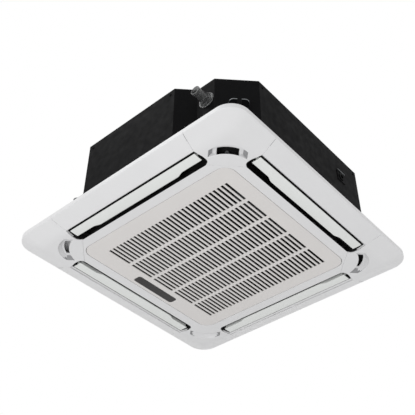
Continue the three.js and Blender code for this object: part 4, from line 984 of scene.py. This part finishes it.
def corner_cover():
    shell = common(cut(panel_block(0), panel_block(SKIN)), cover_region(GAP, -1))
    cover = cut(join(shell, scoop_void(SCOOP_WALL)), scoop_void(0), finger_hole())
    # the scoop's sloping ends take a darker grey as painted shade, with a coarser grain
    return painted(cover, ["panel_white", "grip_grain_and_painted_shade"], cover_tint)


def add_panel():
    stand_in("panel_frame", "shell", panel_frame())
    cover = corner_cover()
    for k, corner in enumerate(CORNERS):
        stand_in(f"corner_cover_{corner}", "shell", quarter(cover, k))


# ---------------- flaps


def flap_step(x):
    """0 between the steps of the flap's inner edge, 1 beyond them."""
    t = (abs(x) - FLAP_STEP_NEAR) / (FLAP_STEP_FAR - FLAP_STEP_NEAR)
    t = min(1.0, max(0.0, t))
    return t * t * (3 - 2 * t)


def flap_inner_edge(x):
    """How far the flap's inner edge lies from the panel's centre."""
    return FLAP_INNER + FLAP_STEP * flap_step(x)


def flap_lip_section(x):
    """The lip that stands on the flap's inner edge, with a rounded top."""
    near = flap_inner_edge(x) + 0.1
    far = near + FLAP_LIP
    low = FLAP_FACE_Z + 1
    top = FLAP_LIP_MIDDLE + (FLAP_LIP_END - FLAP_LIP_MIDDLE) * flap_step(x)
    bend = FLAP_LIP / 3
    ring = [(near, low), (far, low), (far, top - bend), (far - bend, top)]
    ring += [(near + bend, top), (near, top - bend)]
    return [(x, -y, z) for y, z in ring]


def flap_section(x, shrink):
    """The blade's section at x as a ring of points; shrink takes it in at the blade's ends."""
    outer = FLAP_OUTER - shrink
    inner = flap_inner_edge(x) + shrink
    middle = (FLAP_OUTER + FLAP_INNER) / 2
    half = (FLAP_OUTER - FLAP_INNER) / 2 + 1
    bend = FLAP_EDGE_R - shrink * 0.5
    thick = FLAP_THICK - 2 * shrink
    below = FLAP_FACE_Z + shrink
    steps = 10
    across = [inner + bend + (outer - inner - 2 * bend) * i / steps for i in range(steps + 1)]
    round_edge = [pi / 6 * k for k in range(1, 6)]
    # distance from the panel's middle, and height: -1 on the lower face, 1 on the upper one
    ring = [(y, -1) for y in across]
    ring += [(outer - bend + bend * sin(a), -cos(a)) for a in round_edge]
    ring += [(y, 1) for y in reversed(across)]
    ring += [(inner + bend - bend * sin(a), cos(a)) for a in round_edge]

    def height(y, level):
        return below + FLAP_CROWN * ((y - middle) / half) ** 2 + thick / 2 * (1 + level)

    return [(x, -y, height(y, level)) for y, level in ring]


def flap():
    """A crowned blade with its lip, a rib, and an arm with a pin at each end."""
    ends = [(FLAP_HALF - out, up) for out, up in rounding(FLAP_EDGE_R)]
    inside = [-FLAP_ARM_AT + 2 * FLAP_ARM_AT * i / 80 for i in range(81)]
    stations = [(-x, s) for x, s in reversed(ends)] + [(x, 0) for x in inside] + ends
    blade = loft([flap_section(x, shrink) for x, shrink in stations])
    lip = loft([flap_lip_section(x) for x in inside])
    low = FLAP_FACE_Z + 1
    profile = [(y, low) for y in about(-AXIS_OUT, FLAP_ARM_HALF)]
    profile += arc(*FLAP_AXIS, FLAP_ARM_HALF, 0, pi, 12)
    arms = []
    for x0 in (FLAP_ARM_AT - FLAP_ARM, -FLAP_ARM_AT):
        arms.append(loft([[(x, y, z) for y, z in profile] for x in (x0, x0 + FLAP_ARM)]))
    wall_end = SLOT_END + SKIN
    driven = rod("X", FLAP_AXIS, FLAP_PIN_R, FLAP_ARM_AT - 1, wall_end + 5, 28, 0.3)
    idle = rod("X", FLAP_AXIS, FLAP_PIN_R, -wall_end, 1 - FLAP_ARM_AT, 28, 0.3)
    rib = box(*about(0, FLAP_ARM_AT - 1), *about(-AXIS_OUT, 1), low, FLAP_FACE_Z + 7)
    return join(blade, lip, rib, *arms, driven, idle)


def add_flaps():
    blade = flap()
    for k, side in enumerate(SIDES):
        stand_in(f"flap_{side}", "blade", quarter(blade, k))


# ---------------- intake grille


def slat_slot(x, y0, y1):
    outline = rounded_square(SLAT_WIDTH / 2, SLAT_CORNER, (y1 - y0) / 2, steps=2)
    outline = placed(outline, x, (y0 + y1) / 2)
    mouth = edge_rings(outline, SLAT_LIP, 1, lambda px, py: GRILLE_FACE_Z, 3)
    return loft([*mouth, raised(inset(outline, -0.5), GRILLE_BACK + 1)])


def slat_slots():
    y0 = BAND_CENTRE - BAND_COUNT * BAND_PITCH / 2
    slots = []
    for band in range(BAND_COUNT):
        low = y0 + band * BAND_PITCH + BAND_RIB / 2
        high = y0 + (band + 1) * BAND_PITCH - BAND_RIB / 2
        slots += [slat_slot(SLAT_FIRST + i * SLAT_PITCH, low, high) for i in range(SLAT_SLOTS)]
    return merged(slots)


def window_outline(grow):
    outline = rounded_square(WINDOW_WIDTH / 2, WINDOW_RADIUS, WINDOW_LENGTH / 2, 6)
    return placed(inset(outline, -grow), WINDOW_X, WINDOW_Y)


def window_void():
    """The window's hole with a hollow flare round it."""
    rings = [raised(window_outline(WINDOW_FLARE), -2)]
    depth = WINDOW_FACE_Z - GRILLE_FACE_Z
    for t in [k / 6 for k in range(7)]:
        z = GRILLE_FACE_Z + depth * (1 - cos(pi * t)) / 2
        rings.append(raised(window_outline(WINDOW_FLARE * (1 - t)), z))
    return loft([*rings, raised(window_outline(0), GRILLE_BACK + 1)])


def catch_rails(y):
    """Two rails beside the catch, with lips that hold it down."""
    lip_z = GRILLE_BACK + CATCH_THICK + 3 * GAP
    rails = []
    for side in (-1, 1):
        near = y + side * (CATCH_HALF + GAP)
        far = near + side * RAIL_WALL
        for edge, low in ((near, GRILLE_BACK - 1), (near - side * RAIL_LIP, lip_z - GAP)):
            rails.append(box(RAIL_X0, RAIL_X1, *sorted((edge, far)), low, lip_z + 1.5))
    return rails


def hinge_end(side):
    ends = sorted((side * (GRILLE_HALF - 1), side * (OPENING_HALF + SKIN - 0.4)))
    return rod("Y", (HINGE_X, HINGE_Z), HINGE_PIN_R, *ends, 28)


def intake_grille():
    outline = rounded_square(GRILLE_HALF, GRILLE_RADIUS, steps=14)
    rings = edge_rings(outline, GRILLE_EDGE, -1, lambda x, y: GRILLE_FACE_Z, 5)[1:]
    slab = loft([*rings, raised(outline, GRILLE_BACK)])
    inside = prism(inset(outline, SKIRT_WALL), GRILLE_BACK - 2, SKIRT_HEIGHT + 1)
    skirt = cut(prism(outline, GRILLE_BACK - 1, SKIRT_HEIGHT), inside)
    rails = [*catch_rails(-CATCH_Y), *catch_rails(CATCH_Y)]
    plate = join(slab, skirt, hinge_end(-1), hinge_end(1), *rails)
    holes = [catch_tongue(y, RAIL_X1, GRILLE_HALF + 1, GAP) for y in (-CATCH_Y, CATCH_Y)]
    return cut(plate, slat_slots(), *holes, window_void())


def display_window():
    """The pane with its eased edge, and the rim that holds it behind the face."""
    steps = ((0.6, 0), (0.2, 0.15), (0, 0.5))
    rings = [raised(window_outline(-GAP - a), WINDOW_FACE_Z + b) for a, b in steps]
    rings.append(raised(window_outline(-GAP), GRILLE_BACK + 1))
    rim = prism(window_outline(2.5), GRILLE_BACK + GAP, GRILLE_BACK + 1.8)
    return join(loft(rings), rim)


def air_filter():
    """The filter's border with its crossing bars."""
    x0, x1 = FILTER_X0 + FILTER_BAR, FILTER_X1 - FILTER_BAR
    border = cut(
        box(FILTER_X0, FILTER_X1, *about(0, FILTER_HALF_Y), FILTER_Z0, FILTER_Z1, 0.5),
        box(x0, x1, *about(0, FILTER_HALF_Y - FILTER_BAR), 0, 20),
    )
    bars = []
    for i in (1, 2, 3):
        sides = about(FILTER_X0 + (FILTER_X1 - FILTER_X0) * i / 4, FILTER_RIB_HALF)
        ends = about(0, FILTER_HALF_Y - 1)
        bars.append(box(*sides, *ends, FILTER_Z0 + 0.5, FILTER_Z1 - 0.5, 0.4))
    for i in (-1, 0, 1):
        sides = about(i * FILTER_HALF_Y / 2, FILTER_RIB_HALF)
        ends = (FILTER_X0 + 2, FILTER_X1 - 2)
        bars.append(box(*ends, *sides, FILTER_Z0 + 0.9, FILTER_Z1 - 0.9, 0.4))
    return join(border, *bars)


def filter_net():
    """Fine wires that cross between the filter's bars."""
    middle = (FILTER_Z0 + FILTER_Z1) / 2
    half = FILTER_WIRE / 2
    inner = FILTER_BAR - 1
    x0, x1 = FILTER_X0 + inner, FILTER_X1 - inner
    y0, y1 = about(0, FILTER_HALF_Y - inner)
    wires = []
    for i in range(1, int((x1 - x0) / FILTER_PITCH)):
        x = x0 + i * FILTER_PITCH
        wires.append(box(*about(x, half), y0, y1, middle - 0.1, middle + 0.3))
    for i in range(1, int((y1 - y0) / FILTER_PITCH)):
        y = y0 + i * FILTER_PITCH
        wires.append(box(x0, x1, *about(y, half), middle - 0.3, middle + 0.1))
    return merged(wires)


def add_grille():
    stand_in("intake_grille", "face", intake_grille())
    stand_in("display_window", "pane", display_window())
    stand_in("air_filter", "bars", air_filter())
    piece("air_filter_net", filter_net(), "filter_dark", "grille")


# ---------------- pieces that keep the frame's form

def refined(node, edge):
    """The node's own form in millimetres, its flat faces merged and its sharp edges rounded."""
    work = bmesh.new()
    work.from_mesh(frame["nodes"][node].data)
    bmesh.ops.scale(work, vec=(1 / MM, 1 / MM, 1 / MM), verts=work.verts)
    bmesh.ops.remove_doubles(work, verts=work.verts, dist=1e-3)
    flat = radians(0.5)
    bmesh.ops.dissolve_limit(work, angle_limit=flat, verts=work.verts, edges=work.edges)
    mesh = bpy.data.meshes.new(node)
    work.to_mesh(mesh)
    work.free()
    return eased(mesh, edge, 35) if edge else mesh


EDGES = {
    "casing_top": 0.7,
    "panel_seal": 0.8,
    "drain_pan": 1.4,
    "coil_end_plate_rear": 0.3,
    "coil_end_plate_left": 0.3,
    "bell_mouth": 0.3,
    "turbo_fan": 0.5,
    "fan_motor": 1.2,
    "motor_shaft": 0.4,
    "fan_nut": 0.7,
    "motor_bracket": 0.8,
    "drain_pump": 0.9,
    "pump_impeller": 0.3,
    "drain_hose": 0.6,
    "float_switch": 0.4,
    "switch_float": 0.9,
    "gas_flare_nut": 0.7,
    "liquid_flare_nut": 0.6,
    "pipe_cover_plate": 0.4,
    "control_box": 0.5,
    "control_box_cover": 0.5,
    "circuit_board": 0.3,
    "terminal_block": 0.5,
    "display_board": 0.25,
    "grille_catch_front": 0.5,
    "grille_catch_rear": 0.5,
}


def add_inner_pieces():
    edges = dict(EDGES)
    edges.update({f"motor_mount_{i}": 1.2 for i in (1, 2, 3)})
    edges.update({f"flap_motor_{side}": 0.7 for side in SIDES})
    edges.update({f"panel_bolt_{corner}": 0.5 for corner in CORNERS})
    edges.update({node: 0 for node in ("gas_pipe", "liquid_pipe", "insulation_liner")})
    for node, edge in edges.items():
        stand_in(node, "form", refined(node, edge))


# ---------------- casing


def screw_head():
    """A domed head with a cross recess, standing on z = 0."""
    dome = ((1, 0.3), (0.85, 0.7), (0.5, 0.95), (0, 1))
    profile = [(0, -0.5), (SCREW_R, -0.5), *[(a * SCREW_R, b * SCREW_HEIGHT) for a, b in dome]]
    recess = []
    for a, b in ((0.55 * SCREW_R, 0.4), (0.4, 0.55 * SCREW_R)):
        recess.append(box(*about(0, a), *about(0, b), 0.4 * SCREW_HEIGHT, 2 * SCREW_HEIGHT))
    return cut(turned(profile, 24), *recess)


def facing(mesh, place, direction):
    """The mesh with its +Z turned to the horizontal direction (an angle) and moved to place."""
    turn = Matrix.Rotation(direction, 4, "Z") @ Matrix.Rotation(pi / 2, 4, "Y")
    return moved(mesh, Matrix.Translation(place) @ turn)


def casing_side():
    """The folded wall with its rounded folds, foot flange, bolt tabs and holes."""
    low, top = BODY_BOTTOM, TOP_PLATE_Z - GAP
    inside = body_prism(SHEET, low - 1, top + 1, FOLD - SHEET)
    shell = cut(body_prism(0, low, top, FOLD), inside)
    foot_top = low + SHEET
    foot = cut(body_prism(FOOT_INSET, low, foot_top), body_prism(FOOT_WIDTH, 0, BODY_TOP))
    tabs = []
    for side in (-1, 1):
        tab = box(*about(0, TAB_WIDTH / 2), -26, 12, low, foot_top)
        turn = pi + side * pi / 4
        tabs.append(shifted(spun(tab, turn), side * BOLT_AT, -BOLT_AT))
        sides = about(side * (BODY_HALF - 34), 33)
        tabs.append(box(*sides, BOLT_AT - 14, REAR_NOTCH_Y - FOOT_INSET, low, foot_top))
    rear = (BODY_HALF - 3, BODY_HALF + 1)
    holes = [
        rod("Y", (OUTLET_X, OUTLET_Z), OUTLET_R + GAP, NOTCH_Y - 4, NOTCH_Y + 12, 48),
        rod("Y", (GAS_X, GAS_Z), GAS_R + 1.5, *rear, 32),
        rod("Y", (LIQUID_X, LIQUID_Z), LIQUID_R + 1.5, *rear, 32),
        rod("X", (CABLE_Y, CABLE_Z), CABLE_R + GAP, BODY_HALF - 12, BODY_HALF + 1, 32),
    ]
    return cut(join(shell, foot, *tabs), *bolt_holes(0, foot_top + 1), *holes)


def casing_screws():
    """Heads along the folds, where the wall's sheets overlap and where the top plate is held."""
    head = screw_head()
    screws = []
    for x0, y0, x1, y1, length in edges_of(body_outline()):
        if length < SHORT_WALL:
            continue
        dx, dy = (x1 - x0) / length, (y1 - y0) / length
        for along in (SCREW_FROM_FOLD, length - SCREW_FROM_FOLD):
            for z in SCREW_LEVELS:
                place = (x0 + dx * along, y0 + dy * along, z)
                screws.append(facing(head, place, atan2(-dx, dy)))
    return merged(screws)


def bare_at_the_rim(centre, normal):
    """1, bare metal, at the rim of a lug's shelf; 0, painted, elsewhere."""
    return int(centre.y < -LUG_PLATE - 6 and abs(normal.z) < 0.6)


def hanger_lug():
    """A back plate on the wall and a slotted shelf for the ceiling rod, pointing to -Y."""
    half = LUG_WIDTH / 2
    levels = about(LUG_Z, LUG_BACK_HEIGHT / 2)
    back = box(*about(0, LUG_BACK_HALF), -LUG_PLATE, 0, *levels, 0.7)
    shelf_outline = [(half, -1), (-half, -1)]
    for x, start in ((-half + LUG_TIP_R, pi), (half - LUG_TIP_R, 1.5 * pi)):
        shelf_outline += arc(x, LUG_TIP_R - LUG_REACH, LUG_TIP_R, start, start + pi / 2, 8)
    shelf = eased(prism(shelf_outline, LUG_Z - LUG_PLATE, LUG_Z), 0.6)
    radius = LUG_SLOT / 2
    slot_outline = [(x, -LUG_REACH - 1) for x in about(0, radius)]
    slot_outline += arc(0, LUG_SLOT_DEPTH - LUG_REACH - radius, radius, 0, pi, 12)
    slot = prism(slot_outline, LUG_Z - LUG_PLATE - 1, LUG_Z + 1)
    triangle = [(-1, LUG_Z - 1), (10 - LUG_REACH, LUG_Z - 1), (-1, LUG_Z + LUG_RIB_HEIGHT)]
    gussets = []
    for x in (half - LUG_PLATE, -half):
        rings = [[(px, y, z) for y, z in triangle] for px in (x, x + LUG_PLATE)]
        gussets.append(eased(loft(rings), 0.5))
    lug = cut(join(back, shelf, *gussets), slot)
    return painted(lug, ["casing_black", "lug_steel"], bare_at_the_rim)


def add_lugs():
    right = CHAMFER_SUM * DIAGONAL + GAP
    left = (2 * BODY_HALF - LEFT_CUT) * DIAGONAL + GAP
    rear_x, rear_y = REAR_NOTCH_START + LUG_BACK_HALF + 1, REAR_NOTCH_Y + GAP
    across, turn = LUG_FRONT_ALONG, pi / 4
    places = {
        "front_right": ((right + across) * DIAGONAL, (across - right) * DIAGONAL, turn),
        "front_left": (-(left + across) * DIAGONAL, (across - left) * DIAGONAL, -turn),
        "rear_right": (rear_x, rear_y, pi),
        "rear_left": (-rear_x, rear_y, pi),
    }
    lug = hanger_lug()
    for corner, (x, y, angle) in places.items():
        stand_in(f"hanger_lug_{corner}", "plate", shifted(spun(lug, angle), x, y))


def bare_on_the_lip(centre, normal):
    """1, bare metal, on the inlet's folded lip; 0, painted, elsewhere."""
    return int(centre.z > INLET_TOP - 2.3 and centre.x > BODY_HALF + 2)


def wiring_inlet():
    """The inlet's plate in the wall's paint, with the bare metal of its folded lip."""
    plate = refined("wiring_inlet", 0.4)
    return painted(plate, ["casing_black", "lug_steel"], bare_on_the_lip)


def drain_outlet():
    """A clear socket: a flange with gussets, and a tube with a bead at its mouth."""
    root = -NOTCH_Y - 10
    face = -NOTCH_Y + GAP
    mouth = -NOTCH_Y + OUTLET_REACH
    flange = face + OUTLET_FLANGE
    neck = OUTLET_R - 0.7
    profile = [(OUTLET_BORE, root), (OUTLET_BORE, mouth)]
    profile += [(OUTLET_R - 0.8, mouth), (OUTLET_R, mouth - 1), (OUTLET_R, mouth - 4)]
    profile += [(neck, mouth - 5), (neck, flange + 2), (OUTLET_R + 1.5, flange)]
    profile += [(OUTLET_FLANGE_R - 1, flange), (OUTLET_FLANGE_R, flange - 1)]
    profile += [(OUTLET_FLANGE_R, face), (OUTLET_R, face), (OUTLET_R, root)]
    low = flange - 1
    triangle = [(OUTLET_R - 1, low), (OUTLET_FLANGE_R - 2, low)]
    triangle.append((OUTLET_R - 1, face + OUTLET_RIB_HEIGHT))
    rib = loft([[(r, side, y) for r, y in triangle] for side in (-0.8, 0.8)])
    gussets = [spun(rib, k * pi / 2 + pi / 4) for k in QUARTERS]
    socket = join(turned(profile, 72), *gussets)
    out_of_the_notch = ((1, 0, 0, OUTLET_X), (0, 0, -1, 0), (0, 1, 0, OUTLET_Z), (0, 0, 0, 1))
    return moved(socket, Matrix(out_of_the_notch))


def add_casing():
    stand_in("casing_side", "wall", casing_side())
    piece("casing_screws", casing_screws(), "casing_black")
    add_lugs()
    stand_in("wiring_inlet", "plate", wiring_inlet())
    stand_in("drain_outlet", "socket", drain_outlet())


# ---------------- coil


def coil_path(spacing):
    """Points and outward directions along the middle of the coil's ring, at every spacing."""
    half = COIL_HALF - COIL_THICK / 2
    ring = densified(rounded_square(half, COIL_RADIUS - COIL_THICK / 2, steps=24), 1)
    stations = []
    travelled = 0.0
    for x, y, nx, ny, length in edges_of(ring):
        travelled += length
        if travelled < spacing or (x < COIL_END + 1 and y > -COIL_END - 1):
            continue
        travelled = 0.0
        stations.append((x, y, atan2(-(nx - x), ny - y)))
    return stations


def coil_fins():
    """Thin upright fins set across the ring."""
    reach = COIL_THICK / 2 - 0.2
    fins = []
    for x, y, out in coil_path(FIN_PITCH):
        fin = box(-reach, reach, *about(0, FIN_THICK / 2), COIL_BOTTOM, COIL_TOP)
        fins.append(shifted(spun(fin, out), x, y))
    return merged(fins)


def tube(points, radius, sides=12):
    """A tube through points that lie in one horizontal plane."""
    rings = []
    for i, (x, y, z) in enumerate(points):
        bx, by, _ = points[max(0, i - 1)]
        nx, ny, _ = points[min(len(points) - 1, i + 1)]
        length = hypot(nx - bx, ny - by)
        sx, sy = -(ny - by) / length, (nx - bx) / length
        rings.append([(x + sx * u, y + sy * u, z + v) for u, v in circle(radius, sides)])
    return loft(rings)


def coil_tubes():
    """Rows of tubes through the fins, from one open end of the ring to the other."""
    stations = coil_path(TUBE_STEP)
    breaks = [dist(a[:2], b[:2]) > 20 for a, b in zip(stations, stations[1:])]
    start = breaks.index(True) + 1
    ordered = stations[start:] + stations[:start]
    tubes = []
    for row in range(int((COIL_TOP - COIL_BOTTOM - TUBE_LOWEST) / TUBE_PITCH) + 1):
        z = COIL_BOTTOM + TUBE_LOWEST + TUBE_PITCH * row
        for aside in about(0, TUBE_FROM_MIDDLE):
            turns = [(x, y, cos(out), sin(out)) for x, y, out in ordered]
            points = [(x + aside * c, y + aside * s, z) for x, y, c, s in turns]
            tubes.append(tube(points, COIL_TUBE_R))
    return merged(tubes)


def add_coil():
    stand_in("coil", "fins", coil_fins())
    piece("coil_tubes", coil_tubes(), "copper")


# ---------------- stage, light and camera

CAMERA_AZIMUTH = radians(41.157)
CAMERA_ELEVATION = radians(-41.007)
CAMERA_ROLL = radians(0.286)
CAMERA_DISTANCE = 1.72392
CAMERA_TARGET = Vector((0.108243, -0.150037, 0))
CAMERA_FOCAL = 753.9 / 415  # focal length as a share of the image's width
CAMERA_SHIFT = (-0.0016, 0.00125)
SENSOR = 36.0
FLOOR_Z = -2.6
FLOOR_HALF = 9
AMBIENT = 0.57


def add_camera():
    a, e, r = CAMERA_AZIMUTH, CAMERA_ELEVATION, CAMERA_ROLL
    back = Vector((sin(a) * cos(e), -cos(a) * cos(e), sin(e)))
    right = Vector((cos(a), sin(a), 0))
    up = back.cross(right)
    rolled_right = right * cos(r) + up * sin(r)
    rolled_up = up * cos(r) - right * sin(r)
    lens = bpy.data.cameras.new("camera")
    lens.sensor_width = SENSOR
    lens.lens = CAMERA_FOCAL * SENSOR
    lens.shift_x, lens.shift_y = CAMERA_SHIFT
    lens.clip_end = 50
    camera = shown("camera", lens)
    turn = Matrix((rolled_right, rolled_up, back)).transposed().to_4x4()
    camera.matrix_world = Matrix.Translation(CAMERA_TARGET + back * CAMERA_DISTANCE) @ turn
    scene.camera = camera


def seen_directly(tree):
    """1 on camera, glossy and transmission rays."""
    path = tree.nodes.new("ShaderNodeLightPath")
    total = path.outputs["Is Camera Ray"]
    for name in ("Is Glossy Ray", "Is Transmission Ray"):
        either = tree.nodes.new("ShaderNodeMath")
        either.operation = "MAXIMUM"
        tree.links.new(total, either.inputs[0])
        tree.links.new(path.outputs[name], either.inputs[1])
        total = either.outputs["Value"]
    return total


def add_world(ambient):
    """White all round: it lights the scene at the ambient strength and is seen as pure white."""
    world = bpy.data.worlds.new("studio")
    scene.world = world
    world.use_nodes = True
    tree = world.node_tree
    tree.nodes.clear()
    mix = tree.nodes.new("ShaderNodeMixShader")
    tree.links.new(seen_directly(tree), mix.inputs[0])
    for socket, strength in ((1, ambient), (2, 1)):
        light = tree.nodes.new("ShaderNodeBackground")
        light.inputs["Color"].default_value = (1, 1, 1, 1)
        light.inputs["Strength"].default_value = strength
        tree.links.new(light.outputs[0], mix.inputs[socket])
    output = tree.nodes.new("ShaderNodeOutputWorld")
    tree.links.new(mix.outputs[0], output.inputs["Surface"])


def add_floor():
    mesh = bpy.data.meshes.new("floor")
    corners = rectangle(-FLOOR_HALF, FLOOR_HALF, -FLOOR_HALF, FLOOR_HALF)
    mesh.from_pydata(raised(corners, FLOOR_Z), [], [(0, 1, 2, 3)])
    mesh.materials.append(LOOKS["floor_pale"])
    shown("floor", mesh)


def add_lamp(name, place, target, size, power):
    lamp = bpy.data.lights.new(name, "AREA")
    lamp.shape = "DISK"
    lamp.size = size
    lamp.energy = power
    thing = shown(name, lamp)
    thing.location = place
    thing.rotation_euler = (Vector(target) - Vector(place)).to_track_quat("-Z", "Y").to_euler()


# ---------------- the whole

add_panel()
add_flaps()
add_grille()
add_casing()
add_coil()
add_inner_pieces()
add_camera()
add_world(AMBIENT)
add_floor()
add_lamp("key", (0.2, -2.3, -1.6), (0, 0, 0), 1.3, 25)
add_lamp("fill", (2.3, 0.6, -1.5), (0, 0, 0), 1.6, 10)
add_lamp("top", (-1.0, -1.6, 2.6), (0, 0, 0.2), 2.0, 18)
scene.view_settings.view_transform = "Standard"
